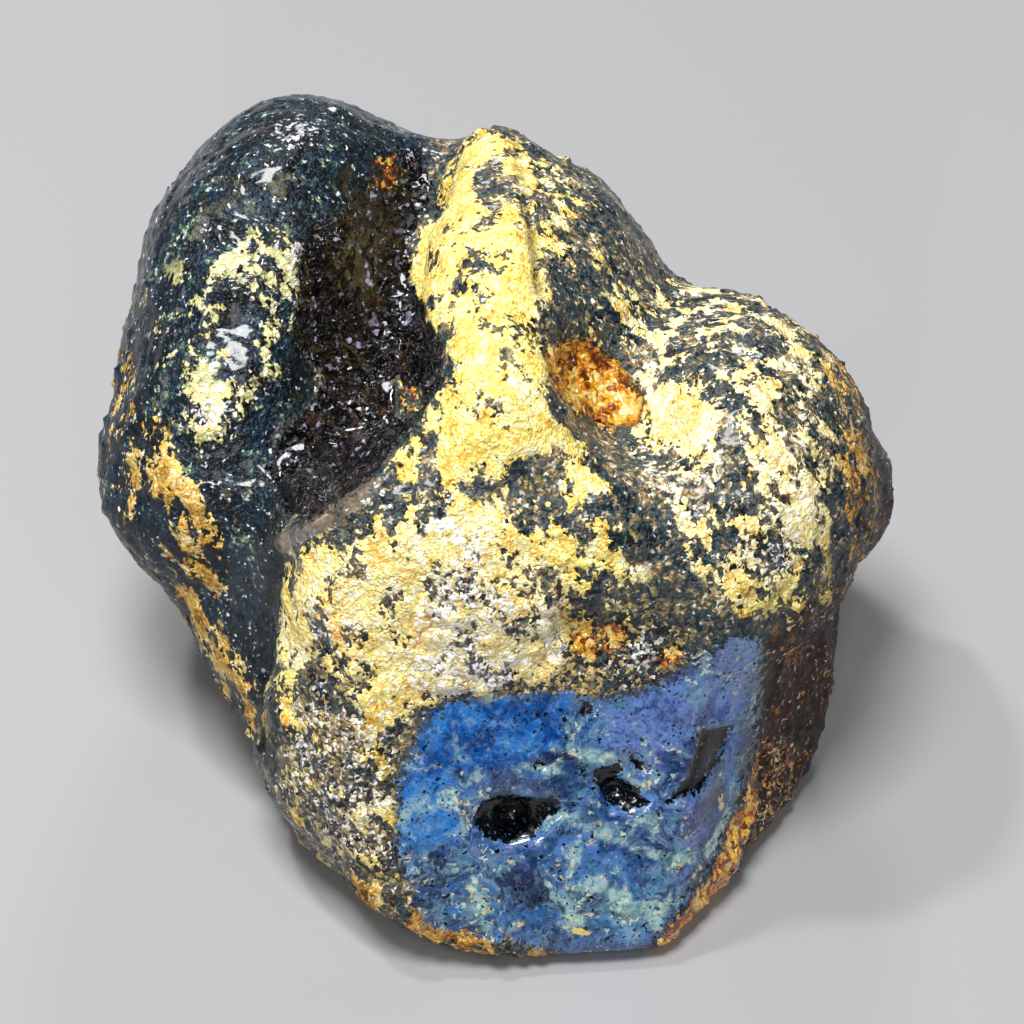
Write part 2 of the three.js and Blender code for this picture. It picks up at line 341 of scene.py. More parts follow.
# %% Where the crust lies
CRUST = {
    "crest": (1.0, 10, [
        (460, 152), (490, 134), (518, 145), (534, 172), (538, 230), (543, 300), (551, 350),
        (546, 400), (562, 430), (590, 460), (604, 500), (586, 500), (550, 466), (515, 456),
        (498, 478), (470, 482), (440, 470), (410, 480), (392, 470), (420, 440), (446, 402),
        (456, 372), (448, 345), (425, 330), (408, 295), (415, 250), (430, 215), (446, 185),
    ]),
    "flakes right of the crest": (0.37, 14, [
        (530, 146), (565, 158), (590, 190), (606, 240), (600, 268), (560, 268), (538, 262),
    ]),
    "slope under the crest": (0.38, 30, [
        (500, 470), (560, 480), (612, 520), (640, 600), (600, 640), (560, 620), (520, 560),
    ]),
    "front": (0.95, 16, [
        (300, 560), (345, 535), (398, 508), (446, 488), (488, 500), (520, 530), (545, 560),
        (556, 600), (540, 640), (500, 668), (460, 660), (440, 690), (402, 690), (384, 668),
        (352, 680), (322, 662), (304, 690), (284, 722), (272, 700), (284, 640), (284, 590),
    ]),
    "pebbly foot of the front": (1.0, 12, [
        (400, 640), (470, 640), (556, 600), (566, 650), (556, 684), (500, 690), (440, 694), (410, 715),
        (380, 740),
        (360, 700),
    ]),
    "solid band of the front": (1.0, 10, [
        (400, 560), (450, 490), (500, 500), (530, 550), (470, 580), (400, 640), (340, 660), (290, 640),
        (292, 575),
    ]),
    "cream patch on the slope": (1.0, 8, [
        (622, 370), (660, 374), (690, 394), (715, 420), (722, 455), (702, 470), (676, 455),
        (658, 434), (630, 415), (614, 395),
    ]),
    "cream patch on the shoulder": (1.0, 8, [
        (740, 440), (770, 424), (800, 438), (820, 470), (824, 512), (808, 545), (780, 545),
        (756, 520), (750, 490), (738, 468),
    ]),
    "flakes on the shoulder": (0.32, 12, [
        (728, 346), (762, 338), (790, 350), (800, 385), (772, 400), (744, 392), (730, 372),
    ]),
    "whole shoulder": (0.37, 30, [
        (610, 270), (700, 290), (790, 310), (840, 380), (830, 560), (760, 610), (700, 560), (640, 440),
        (600, 330),
    ]),
    "below the shoulder": (0.66, 16, [
        (730, 540), (818, 552), (826, 590), (790, 620), (745, 606), (716, 575),
    ]),
    "lobe": (0.04, 40, [
        (130, 180), (240, 110), (350, 130), (330, 215), (300, 330), (320, 400), (270, 440),
        (270, 560), (200, 560), (130, 420), (120, 300),
    ]),
    "flakes on the lobe": (0.56, 14, [
        (218, 246), (258, 234), (300, 243), (306, 300), (284, 318), (240, 306), (216, 276),
    ]),
    "specks on the lobe": (0.12, 30, [
        (150, 280), (230, 230), (300, 300), (290, 380), (220, 400), (140, 380),
    ]),
    # painted highlight: pale crust painted where the light glints on the lobe
    "painted highlight on the lobe": (0.84, 14, [
        (178, 388), (214, 374), (250, 394), (246, 424), (206, 442), (182, 420),
    ]),
    "streak on the left flank": (0.66, 12, [
        (118, 428), (152, 420), (176, 455), (196, 492), (220, 542), (226, 588), (196, 580),
        (172, 535), (144, 492), (120, 466),
    ]),
    # The thin crust on the left rim and the lower flank keeps these low sides dark, partly as painted shade.
    "left rim": (0.16, 14, [
        (104, 360), (126, 350), (136, 400), (140, 440), (160, 520), (185, 580), (150, 566), (112, 480),
    ]),
    "lower flank": (0.3, 14, [
        (180, 585), (205, 610), (222, 640), (258, 672), (276, 700), (268, 758), (238, 720),
        (205, 668), (184, 630),
    ]),
    "shoulder edge": (0.42, 14, [
        (786, 312), (815, 340), (842, 372), (860, 420), (872, 470), (866, 540), (846, 572),
        (834, 540), (838, 480), (830, 430), (812, 388), (792, 350),
    ]),
    # The thin crust here keeps the low corner dark, partly as painted shade.
    "granular corner": (0.2, 24, [
        (296, 700), (350, 690), (400, 680), (420, 710), (400, 760), (396, 850), (420, 925),
        (350, 876), (306, 836), (280, 790), (270, 740),
    ]),
    "base of the front": (0.6, 10, [
        (352, 872), (440, 916), (520, 934), (600, 958), (560, 968), (440, 945), (345, 892),
    ]),
}
print(len(CRUST), "patches of crust")

# %% [markdown]
# ## Where the crust is gone
# In a few places inside the patches the sediment has broken away and the dark skin looks through.
# It is simpler to cut these out of the patches than to draw every patch with bays and holes.

# %% Bare places in the crust
BARE = {
    "grey patch near the top": (0.85, 5, [
        (478, 168), (500, 160), (514, 176), (512, 206), (492, 214), (478, 196),
    ]),
    "dark patch under it": (0.8, 5, [(455, 250), (480, 244), (504, 250), (502, 272), (470, 278), (452, 268)]),
    "green streak": (0.7, 4, [(430, 300), (456, 284), (484, 278), (478, 292), (450, 304), (434, 312)]),
    "wedge right of the front": (0.75, 8, [
        (502, 462), (540, 458), (568, 480), (572, 520), (540, 520), (512, 500),
    ]),
    "bay in the front": (0.7, 6, [(412, 512), (440, 492), (446, 520), (424, 536)]),
    "streak in the front": (0.6, 5, [(350, 540), (400, 505), (440, 470), (430, 492), (396, 524), (360, 552)]),
    "upper streak": (0.6, 5, [(380, 500), (410, 470), (440, 440), (432, 466), (404, 492)]),
    "hollow side of the crest": (0.6, 6, [(440, 130), (466, 140), (440, 190), (424, 220), (412, 200)]),
    "grey left of the front": (0.7, 8, [(296, 650), (330, 640), (344, 680), (320, 704), (296, 700)]),
    "band on the shoulder": (0.8, 8, [
        (716, 400), (740, 398), (744, 440), (736, 500), (716, 500), (722, 450),
    ]),
    "top right of the crest": (0.6, 8, [
        (560, 180), (590, 180), (620, 250), (640, 330), (600, 340), (570, 260),
    ]),
}
print(len(BARE), "bare places")

# %% [markdown]
# ## Where the crust changes colour
# The crust is yellow in most places. It is paler, like cream, on the shoulder and at the foot of the
# front, and darker, like ochre, on the left flank and along the edges near the ground. The cream at
# the front and its foot is partly painted light, paler where the wet front shines and where the lamps
# leave it dim, and the cream spot on the lobe is a painted highlight. The ochre on the flanks and near
# the ground is partly painted shade.

# %% Cream and ochre areas
CREAM_AND_PAINTED_LIGHT_SPOTS = {
    "shoulder": (0.7, 30, [
        (600, 330), (640, 290), (740, 280), (800, 330), (832, 430), (826, 560), (700, 600), (620, 480),
    ]),
    "flakes on the lobe": (0.8, 14, [(218, 246), (258, 234), (300, 243), (308, 300), (284, 322), (216, 282)]),
    # painted highlight: the cream spot where the light glints on the lobe
    "painted highlight on the lobe": (1.0, 14, [(170, 380), (214, 366), (260, 390), (250, 430), (200, 450)]),
    # the cream on the front and its foot is partly the crust's colour and partly painted light, paler where
    # the wet front shines and the lamps leave it dim
    "front": (0.5, 30, [(300, 560), (450, 490), (560, 580), (560, 690), (440, 700), (300, 680)]),
    "foot of the front": (0.8, 20, [(400, 610), (560, 590), (560, 690), (420, 710)]),
}
# Ochre is a darker copy of the crust. On the left flank, the right edge and the base it is partly painted
# shade, on sides that turn away from the lamps.
OCHRE_AND_PAINTED_SHADE_SIDES = {
    "left flank": (0.7, 14, [
        (90, 330), (126, 340), (160, 420), (220, 520), (232, 600), (262, 660), (272, 770), (180, 700),
        (90, 500),
    ]),
    "right edge": (1.0, 14, [
        (800, 300), (830, 380), (842, 480), (826, 600), (760, 660), (740, 960), (900, 700), (900, 400),
    ]),
    "base": (1.0, 8, [(345, 866), (440, 912), (520, 930), (600, 956), (560, 975), (440, 950), (335, 892)]),
}
print(len(CREAM_AND_PAINTED_LIGHT_SPOTS), "cream areas and", len(OCHRE_AND_PAINTED_SHADE_SIDES), "ochre areas")

# %% [markdown]
# ## Broken and ground faces
# The hollow is a break with a dark glassy face. Where the skin is chipped thinner, clear amber the
# colour of honey shows, as in the pit beside the crest and along the rim of the window. The window
# itself was ground flat, and the wall to the right of it is bare brown skin.

# %% Hollow, honey, window and wall
GLASS = {
    "hollow": (1.0, 8, [
        (386, 150), (420, 150), (432, 185), (410, 240), (412, 282), (430, 322), (442, 352),
        (440, 382), (420, 412), (390, 450), (362, 490), (312, 520), (286, 512), (274, 470),
        (286, 430), (318, 402), (330, 380), (300, 340), (302, 262), (312, 222), (342, 214), (370, 190),
    ]),
}
HONEY = {
    "amber pit": (1.0, 8, [
        (544, 352), (560, 343), (590, 342), (612, 356), (626, 372), (642, 396), (636, 422),
        (606, 430), (578, 412), (556, 392),
    ]),
    "red spot over the window": (0.8, 8, [(572, 622), (592, 616), (600, 640), (594, 664), (574, 656)]),
    "gold spot over the window": (0.9, 8, [(600, 622), (622, 620), (630, 642), (612, 654), (600, 644)]),
    "right gold spot": (0.7, 8, [(650, 652), (680, 644), (690, 658), (664, 670)]),
    "golden rim": (1.0, 4, [
        (752, 735), (764, 740), (760, 800), (744, 850), (722, 892), (700, 940), (650, 968), (606, 974),
        (640, 950), (672, 905), (702, 876), (738, 800),
    ]),
    "gold in the wall": (0.42, 10, [
        (764, 735), (795, 740), (796, 800), (770, 850), (748, 880), (744, 850), (760, 800),
    ]),
    "hollow's foot": (0.5, 6, [(398, 380), (422, 384), (424, 408), (402, 414)]),
    "hollow's head": (0.5, 8, [(374, 158), (400, 152), (412, 176), (392, 194), (374, 188)]),
}
WINDOW = {
    "window": (1.0, 12, [
        (424, 722), (450, 700), (500, 697), (560, 692), (600, 700), (640, 692), (672, 674),
        (704, 652), (735, 638), (762, 640), (756, 740), (738, 800), (704, 876), (672, 915), (640, 955),
        (600, 966), (520, 942), (424, 925), (398, 850), (402, 770),
    ]),
}
WALL = {
    "right wall": (1.0, 8, [
        (768, 640), (800, 606), (850, 570), (846, 650), (826, 740), (806, 796), (780, 846),
        (746, 890), (704, 942), (690, 946), (720, 880), (746, 800), (762, 720),
    ]),
    "nub": (0.8, 8, [(862, 440), (880, 455), (896, 490), (894, 525), (872, 556), (860, 520), (864, 480)]),
}
print(sum(len(part) for part in (GLASS, HONEY, WINDOW, WALL)), "broken, ground and bare faces")

# %% [markdown]
# ## Kinds of skin
# The left lobe is darker and bluer than the rest. The front is pebbly, with round grains of sand in
# it, and some places are smooth and look wet. On these, white glints are painted into the colour as
# painted highlights, over the real gloss of the coat.

# %% Lobe, pebbles and wet places
LOBE = {
    "left lobe": (1.0, 12, [
        (90, 80), (300, 70), (425, 120), (436, 160), (400, 200), (330, 215), (300, 300),
        (320, 390), (280, 430), (276, 540), (290, 600), (272, 760), (200, 760), (80, 500),
    ]),
}
PEBBLES = {
    "front": (1.0, 20, [
        (400, 600), (470, 560), (560, 570), (590, 640), (640, 600), (700, 640), (660, 690), (560, 696),
        (440, 700),
    ]),
    "granular corner": (0.7, 20, [(296, 700), (400, 680), (410, 740), (396, 900), (340, 870), (280, 790)]),
    "left side of the front": (0.8, 14, [(300, 640), (340, 640), (400, 690), (380, 720), (310, 720)]),
}
# Wet places are glossy, and white glints are also painted on them as painted highlights: the top, edge and
# spot of the lobe, the lip and the front are where highlights fall.
WET_PLACES_AND_PAINTED_GLINTS = {
    "head of the front": (1.0, 8, [(426, 524), (462, 516), (484, 552), (470, 584), (446, 580), (452, 548)]),
    "middle of the front": (0.8, 14, [
        (420, 590), (470, 570), (520, 600), (500, 640), (450, 650), (410, 640),
    ]),
    "foot of the front": (1.0, 10, [(410, 660), (460, 640), (520, 660), (500, 690), (430, 700), (404, 690)]),
    "right of the front": (1.0, 6, [(540, 604), (560, 600), (566, 650), (552, 668), (538, 650)]),
    "over the window": (0.9, 8, [(630, 640), (664, 636), (676, 660), (650, 672), (626, 664)]),
    "left of the front": (0.6, 10, [(310, 600), (350, 590), (370, 620), (340, 650), (310, 640)]),
    "top of the lobe": (0.9, 10, [(276, 124), (300, 118), (318, 130), (306, 150), (280, 148)]),
    "edge of the lobe": (0.9, 5, [(290, 244), (308, 240), (304, 280), (294, 300), (284, 262)]),
    "spot on the lobe": (1.0, 6, [(192, 404), (210, 396), (222, 410), (212, 432), (198, 428)]),
    "lip": (1.0, 5, [(280, 540), (300, 528), (330, 518), (320, 534), (290, 550)]),
    "corner": (0.5, 20, [(300, 700), (400, 700), (396, 860), (330, 850), (280, 780)]),
    "shoulder": (0.9, 6, [(764, 548), (790, 546), (800, 562), (780, 572), (762, 564)]),
}
print(len(PEBBLES), "pebbly places and", len(WET_PLACES_AND_PAINTED_GLINTS), "wet places")

# %% [markdown]
# ## From outlines to masks
# Every point of the skin has a place in the photograph, so it is enough to measure how far inside
# each outline that place lies. A mask is a number for each point, 0 outside and the patch's share
# inside. Hidden points take the number of the nearest seen point, and lose it over a few
# millimetres.

# %% Masks from the outlines
pixels = in_photo(points)


def inside_by(outline):
    """How far, in pixels, each point of the skin lies inside an outline; negative outside."""
    corners = np.array(outline, float)
    inside = np.zeros(len(pixels), bool)
    nearest = np.full(len(pixels), np.inf)
    for start, end in zip(corners, np.roll(corners, -1, axis=0)):
        run = end - start
        share = np.clip(((pixels - start) @ run) / (run @ run), 0, 1)
        nearest = np.minimum(nearest, np.linalg.norm(pixels - start - share[:, None] * run, axis=1))
        rises = (start[1] > pixels[:, 1]) != (end[1] > pixels[:, 1])
        if start[1] != end[1]:
            cross = start[0] + run[0] * (pixels[:, 1] - start[1]) / run[1]
            inside ^= rises & (pixels[:, 0] < cross)
    return np.where(inside, nearest, -nearest)


def patch_mask(outlines, wave=0.0):
    """The strongest of the patches at each point of the skin, with an edge that wanders."""
    strongest = np.zeros(len(points))
    for share, soft, outline in outlines.values():
        within = inside_by(outline) + wave * grain_1
        strongest = np.maximum(strongest, share * smoothstep(within, -soft, soft))
    return strongest[nearest_seen] * (1 - hidden)


crust = patch_mask(CRUST, 6) * (1 - patch_mask(BARE, 4))
glass = patch_mask(GLASS, 5)
honey = patch_mask(HONEY, 3)
window = patch_mask(WINDOW, 1)
wall = patch_mask(WALL, 4)
lobe = patch_mask(LOBE)
pebbles = patch_mask(PEBBLES)
wet = patch_mask(WET_PLACES_AND_PAINTED_GLINTS, 4)
cream = patch_mask(CREAM_AND_PAINTED_LIGHT_SPOTS)
ochre_and_shade = patch_mask(OCHRE_AND_PAINTED_SHADE_SIDES)
print("crust covers", round(float(crust[seen].mean()), 2), "of what is seen")

# %% [markdown]
# ## The unseen sides
# The same sediment goes on round the back, in broad patches that break up into flecks. The left lobe
# stays dark behind as well, and a few glassy breaks show where the nugget was knocked.

# %% Patches on the unseen sides
LEAST_BEHIND, MORE_BEHIND = 0.3, 0.6  # the crust's share, and what is added in the thick patches

behind = LEAST_BEHIND + MORE_BEHIND * smoothstep(patches_14 + 0.35 * patches_6 + 0.25 * grain_1, -0.1, 0.4)
glass_behind = smoothstep(lumps(17, 12) + 0.2 * swell_3, 0.52, 0.66) * hidden
lobe_behind = smoothstep(-points[:, 0] + 2 * patches_14, 6, 12) * hidden
crust = np.maximum(crust, behind * hidden * (1 - 0.35 * lobe_behind))
glass = np.maximum(glass, glass_behind)
lobe = np.maximum(lobe, lobe_behind)
cream = np.maximum(cream, smoothstep(lumps(19, 14), -0.2, 0.3) * hidden)
ochre_and_shade = np.maximum(ochre_and_shade, (1 - cream) * hidden * 0.8)
pebbles = np.maximum(pebbles, smoothstep(lumps(11, 13), 0.2, 0.5) * hidden)
wet = np.maximum(wet, 0.6 * smoothstep(lumps(8, 15), 0.4, 0.7) * hidden)
for mask in (crust, glass, wall):
    mask *= 1 - window
crust *= (1 - glass) * (1 - honey)
print("crust covers", round(float(crust.mean()), 2), "of the whole skin")

# %% [markdown]
# ## Grain, crust, chips and pits
# Real relief catches the light at the outline too, so everything wider than half a millimetre is
# pushed into the mesh: pebbly skin, crust that stands a quarter of a millimetre proud, flat chips of
# broken resin in the hollow, and the round holes in the window. The flat underside stays as it is.
# Holes, ledges and cracks are drawn as strokes: a path in pixels, and sizes in mm.

# %% Spots, holes, ledges and cracks
BLACK_SPOTS = {
    "left spot": (1.0, 4, [
        (472, 822), (484, 802), (508, 796), (536, 800), (556, 796), (560, 812), (542, 822),
        (534, 836), (508, 843), (488, 838),
    ]),
    "middle spot": (1.0, 4, [
        (592, 772), (624, 764), (618, 778), (638, 790), (646, 802), (632, 814), (612, 808), (600, 790),
    ]),
    "right spot": (1.0, 4, [
        (704, 730), (733, 727), (728, 748), (714, 772), (700, 796), (668, 802), (690, 776), (697, 750),
    ]),
    "notch": (1.0, 2, [(578, 716), (588, 696), (592, 716)]),
    "small stroke": (0.9, 2, [(628, 750), (636, 756), (650, 768), (644, 772), (632, 764)]),
    "speck": (0.9, 2, [(532, 768), (538, 758), (546, 768)]),
}
HOLES = {
    "left hole": {"path": [(512, 818)], "half_width": 1.15, "depth": 2.2},
    "middle hole": {"path": [(616, 792)], "half_width": 0.9, "depth": 0.9},
    "amber pit": {"path": [(570, 365), (605, 385), (620, 405)], "half_width": 1.9, "depth": 0.9},
    "dent on the lobe": {"path": [(226, 236), (246, 240)], "half_width": 1.4, "depth": 0.7},
}
LEDGES = {
    "lip of the hollow": {
        "path": [(440, 400), (430, 430), (400, 462), (370, 490), (325, 520), (282, 545)],
        "half_width": 0.8,
        "height": 0.55,
    },
    "left corner": {"path": [(290, 590), (286, 650), (270, 735)], "half_width": 0.9, "height": 0.3},
    "crust edge of the front": {
        "path": [(300, 560), (350, 538), (400, 508)],
        "half_width": 0.6,
        "height": 0.25,
    },
}
CRACKS = {
    "crack down the crest": {"path": [(515, 145), (524, 200), (534, 250), (537, 292)], "half_width": 0.4},
    "crease at the left": {"path": [(280, 545), (268, 620), (264, 700), (262, 745)], "half_width": 0.5},
}
LIP_SHOWS = {"path": [(368, 490), (340, 508), (310, 528), (280, 546)], "half_width": 0.85}
# the crease at the left gets a dark band wider than itself: painted shade
CREASE_PAINTED_SHADE_HALF_WIDTH = 0.9  # mm; the shade of the crease is wider than the crease
black = patch_mask(BLACK_SPOTS)
print(len(HOLES), "holes,", len(LEDGES), "ledges and", len(CRACKS), "cracks")

# %% [markdown]
# ## Pushing the skin in and out
# Every kind of relief is a height in mm for each point, times the mask of the place where it belongs.
# Their sum moves each point straight out of the skin or into it, along its normal.

# %% Relief on the skin
SWELL_HEIGHT, GRAIN_HEIGHT, FLAKE_HEIGHT = 0.22, 0.11, 0.12
CRUST_THICKNESS = 0.28
CHIP_HEIGHT, HOLLOW_DEPTH = 0.5, 0.15
WALL_RIDGES = 0.35
PEBBLE_TILT, PEBBLE_HEIGHT = 0.25, 0.2
SPOT_DEPTH, CRACK_DEPTH = 0.5, 0.45
SMOOTHER_LOBE, GROUND_FLAT = 0.4, 0.93  # the share of the relief that is missing there
FLOOR_FADE = (0.3, 2.0)  # mm above the floor, where the relief starts and has its full height

relief = SWELL_HEIGHT * swell_3 + GRAIN_HEIGHT * grain_1 * (1 - SMOOTHER_LOBE * lobe)
relief += FLAKE_HEIGHT * flake_tilt * (1 - glass)
relief += CRUST_THICKNESS * smoothstep(crust + 0.5 * grain_1, 0.35, 0.75)
relief += glass * (CHIP_HEIGHT * chip_tilt - HOLLOW_DEPTH)
relief += honey * CHIP_HEIGHT * chip_tilt
relief += wall * WALL_RIDGES * lumps(2.0, 21, stretch=(1, 1, 4))
relief += pebbles * (PEBBLE_TILT * flake_tilt + PEBBLE_HEIGHT * smoothstep(flake_edge, 0.0, 0.4))
relief *= 1 - GROUND_FLAT * window
for hole in HOLES.values():
    dip = stroke_mask(hole["path"], hole["half_width"])
    dip = smoothstep(dip + 0.12 * grain_1, 0.25, 0.75)
    relief -= hole["depth"] * dip
relief -= SPOT_DEPTH * black
for ledge in LEDGES.values():
    relief += ledge["height"] * stroke_mask(ledge["path"], ledge["half_width"])
crack = np.max([stroke_mask(c["path"], c["half_width"]) for c in CRACKS.values()], axis=0)
relief -= CRACK_DEPTH * crack
crease = CRACKS["crease at the left"]["path"]
# painted shade: a wider dark band along the crease at the left
crack = np.maximum(crack, stroke_mask(crease, CREASE_PAINTED_SHADE_HALF_WIDTH))
lip = stroke_mask(**LIP_SHOWS)
relief *= smoothstep(points[:, 2], *FLOOR_FADE)
shaped_points = points + normals * relief[:, None]
shaped_points[:, 2] = np.maximum(shaped_points[:, 2], 0)
write_points(shaped_points)
skin.polygons.foreach_set("use_smooth", np.ones(len(skin.polygons), bool))
print("relief from", round(float(relief.min()), 2), "to", round(float(relief.max()), 2), "mm")

# %% [markdown]
# ## Colours in the window
# The ground window isn't one blue. It is royal blue at the upper left, periwinkle at the right,
# darker and greener at the foot, with milky veins in between and a few gold and white grains.

# %% Masks in the window
ROYAL_PARTS = {
    "upper left": (1.0, 16, [
        (404, 760), (430, 705), (500, 697), (560, 700), (572, 740), (520, 765), (470, 770), (420, 800),
        (402, 830),
    ]),
    "lower left": (1.0, 8, [(400, 826), (440, 812), (462, 822), (440, 845), (404, 850)]),
    "right edge": (1.0, 8, [(716, 712), (744, 700), (748, 735), (736, 790), (718, 790), (734, 735)]),
    "round spot": (1.0, 5, [(532, 916), (546, 906), (560, 916), (556, 934), (540, 936)]),
}
LILAC_PARTS = {
    "upper right": (0.9, 20, [
        (600, 690), (660, 680), (700, 640), (755, 640), (745, 700), (690, 740), (660, 790), (610, 750),
    ]),
    "foot": (0.8, 14, [(470, 850), (520, 850), (540, 880), (520, 910), (470, 890)]),
    "right": (0.7, 14, [(670, 800), (710, 790), (730, 820), (690, 860), (650, 840)]),
}
MURKY_PARTS = {
    "foot": (1.0, 30, [(400, 850), (470, 860), (560, 880), (640, 900), (600, 960), (540, 940), (430, 930)]),
    "middle": (0.5, 30, [(440, 840), (600, 830), (700, 820), (690, 870), (560, 900), (440, 880)]),
    "right edge": (0.8, 10, [(744, 690), (766, 640), (760, 740), (742, 800), (730, 800)]),
    "under the honey": (0.8, 14, [(560, 690), (620, 690), (690, 650), (720, 640), (700, 670), (620, 704)]),
}
VEINS = {
    "over the left spot": {
        "path": [(404, 818), (440, 806), (470, 780), (520, 766), (570, 772), (610, 752)],
        "half_width": 0.45,
    },
    "under the left spot": {"path": [(560, 815), (590, 830), (640, 850), (700, 862)], "half_width": 0.4},
    "milky streak": {"path": [(578, 842), (572, 870)], "half_width": 0.5},
    "pale grains": {"path": [(640, 826), (654, 840)], "half_width": 0.6},
    "foot, left": {"path": [(470, 870), (480, 900), (486, 930)], "half_width": 0.35},
    "foot, middle": {"path": [(536, 870), (556, 900), (590, 930)], "half_width": 0.35},
    "turquoise foot": {"path": [(590, 880), (620, 900), (650, 890), (656, 930)], "half_width": 0.6},
    "upper right": {"path": [(560, 745), (600, 752), (560, 770)], "half_width": 0.5},
    "edge": {"path": [(740, 760), (724, 820), (700, 870), (660, 910)], "half_width": 0.4},
}
GOLD_GRAINS = {
    "at the right": {"path": [(721, 798), (721, 806)], "half_width": 0.42},
    "at the foot": {"path": [(576, 930), (586, 934)], "half_width": 0.35},
    "row at the right": {"path": [(694, 876), (700, 868)], "half_width": 0.3},
}
royal = patch_mask(ROYAL_PARTS, 3)
lilac = patch_mask(LILAC_PARTS, 3)
murky = patch_mask(MURKY_PARTS, 3)
veins = np.max([stroke_mask(v["path"], v["half_width"]) for v in VEINS.values()], axis=0)
gold = np.max([stroke_mask(g["path"], g["half_width"]) for g in GOLD_GRAINS.values()], axis=0)
print(len(VEINS), "milky veins and", len(GOLD_GRAINS), "gold grains")

# %% [markdown]
# ## Masks for the finishes
# Every mask goes onto the skin as a named value, so that the finishes can read it. The shaders then
# roughen the edges of the masks with noise much finer than the mesh. The numbers of two sets of
# cells go along as well: they tell the larger shards of the skin apart.

# %% Masks on the mesh
MASKS = {
    "crust": crust, "cream": cream, "ochre_and_shade": ochre_and_shade, "glass": glass, "honey": honey,
    "window": window, "wall": wall, "lobe": lobe, "pebbles": pebbles, "wet": wet,
    "black": black, "lip": lip, "crack": crack,
    "royal": royal, "lilac": lilac, "murky": murky, "veins": veins, "gold": gold,
    "shard": flake_number, "shard tone": chip_number,
}
for mask_name, mask in MASKS.items():
    layer = skin.attributes.new(mask_name, "FLOAT", "POINT")
    layer.data.foreach_set("value", np.clip(mask, 0, 1).astype(np.float32))
print(len(MASKS), "masks")

# %% [markdown]
# ## Building blocks for the finishes
# A finish is a tree of small nodes. These helpers add one node each and wire it up, so that a group
# reads like a list of steps. Colours are given as on a screen, 0 to 255, and turned into the linear
# values that the renderer works in.

# %% Nodes and sums
def screen_colour(red, green, blue):
    return tuple((v / 255) ** 2.2 for v in (red, green, blue)) + (1.0,)


def feed(tree, socket, value):
    if isinstance(value, bpy.types.NodeSocket):
        tree.links.new(value, socket)
    else:
        socket.default_value = value


def add(tree, kind, feeds=(), **settings):
    """Adds a node, with its settings first and then its inputs, by name or number."""
    node = tree.nodes.new(kind)
    for name, value in settings.items():
        setattr(node, name, value)
    for name, value in dict(feeds).items():
        feed(tree, node.inputs[name], value)
    return node


def calc(tree, operation, *values):
    return add(tree, "ShaderNodeMath", enumerate(values), operation=operation).outputs[0]


def between(tree, value, low, high, bottom=0.0, top=1.0):
    """bottom below low, top above high, and a smooth step from one to the other."""
    feeds = {"Value": value, "From Min": low, "From Max": high, "To Min": bottom, "To Max": top}
    return add(tree, "ShaderNodeMapRange", feeds, interpolation_type="SMOOTHSTEP").outputs[0]


print("a screen grey of 128 is", round(screen_colour(128, 128, 128)[0], 3), "in linear light")

# %% [markdown]
# ## Mixing colours and values
# A blend goes from one colour to another. A ramp picks a colour by a value, which is how one noise
# can give a whole family of crumbs their colours.

# %% Blends, ramps and places
def blend(tree, share, first, second):
    """The first colour where share is 0, the second where it is 1."""
    node = add(tree, "ShaderNodeMix", {0: share}, data_type="RGBA")
    feed(tree, node.inputs[6], first)
    feed(tree, node.inputs[7], second)
    return node.outputs[2]


def pick(tree, value, stops):
    """A colour that runs with the value through the stops, {value: colour as on a screen}."""
    node = add(tree, "ShaderNodeValToRGB", {0: value})
    points_on_ramp = node.color_ramp.elements
    points_on_ramp.remove(points_on_ramp[1])
    for number, (at, colour) in enumerate(stops.items()):
        stop = points_on_ramp.new(at) if number else points_on_ramp[0]
        stop.position = at
        stop.color = screen_colour(*colour)
    return node.outputs[0]


def mixed(tree, *shares_and_values):
    """The sum of values, each times its share."""
    total = 0.0
    for share, value in shares_and_values:
        total = calc(tree, "MULTIPLY_ADD", value, share, total)
    return total


def times(tree, *values):
    result = values[0]
    for value in values[1:]:
        result = calc(tree, "MULTIPLY", result, value)
    return result


def vector(tree, operation, first, second):
    node = add(tree, "ShaderNodeVectorMath", {0: first, 1: second}, operation=operation)
    return node.outputs["Value" if operation == "DOT_PRODUCT" else "Vector"]


def place(tree, size):
    """The position on the nugget, counted in steps of size mm."""
    where = add(tree, "ShaderNodeTexCoord").outputs["Object"]
    scaled = add(tree, "ShaderNodeVectorMath", {0: where}, operation="SCALE")
    feed(tree, scaled.inputs["Scale"], calc(tree, "DIVIDE", 1 / MM, size))
    return scaled.outputs[0]


def noise_colour(tree, position, detail, roughness):
    """Noise as a colour, whose three parts run their own ways; it pushes positions about."""
    feeds = {"Vector": position, "Scale": 1.0, "Detail": detail, "Roughness": roughness}
    return add(tree, "ShaderNodeTexNoise", feeds).outputs["Color"]


print("helpers for blends, ramps, sums and places are ready")

# %% [markdown]
# ## Groups
# A node group is a small tree with named inputs and outputs. It is built once and placed in every
# finish that needs it, each time with its own values.

# %% Making and using groups
def new_group(name, inputs, outputs):
    """An empty node group. Inputs and outputs are {name: default}; a tuple default means a colour."""
    group = bpy.data.node_groups.new(name, "ShaderNodeTree")
    for sockets, side in ((inputs, "INPUT"), (outputs, "OUTPUT")):
        for label, default in sockets.items():
            kind = "NodeSocketColor" if isinstance(default, tuple) else "NodeSocketFloat"
            group.interface.new_socket(label, in_out=side, socket_type=kind).default_value = default
    return group, group.nodes.new("NodeGroupInput").outputs, group.nodes.new("NodeGroupOutput").inputs


def use(tree, group, **feeds):
    """Puts a group into a tree; Size=2 feeds its input called Size."""
    feeds = {label.replace("_", " "): value for label, value in feeds.items()}
    return add(tree, "ShaderNodeGroup", feeds_in(group, feeds), node_tree=group).outputs


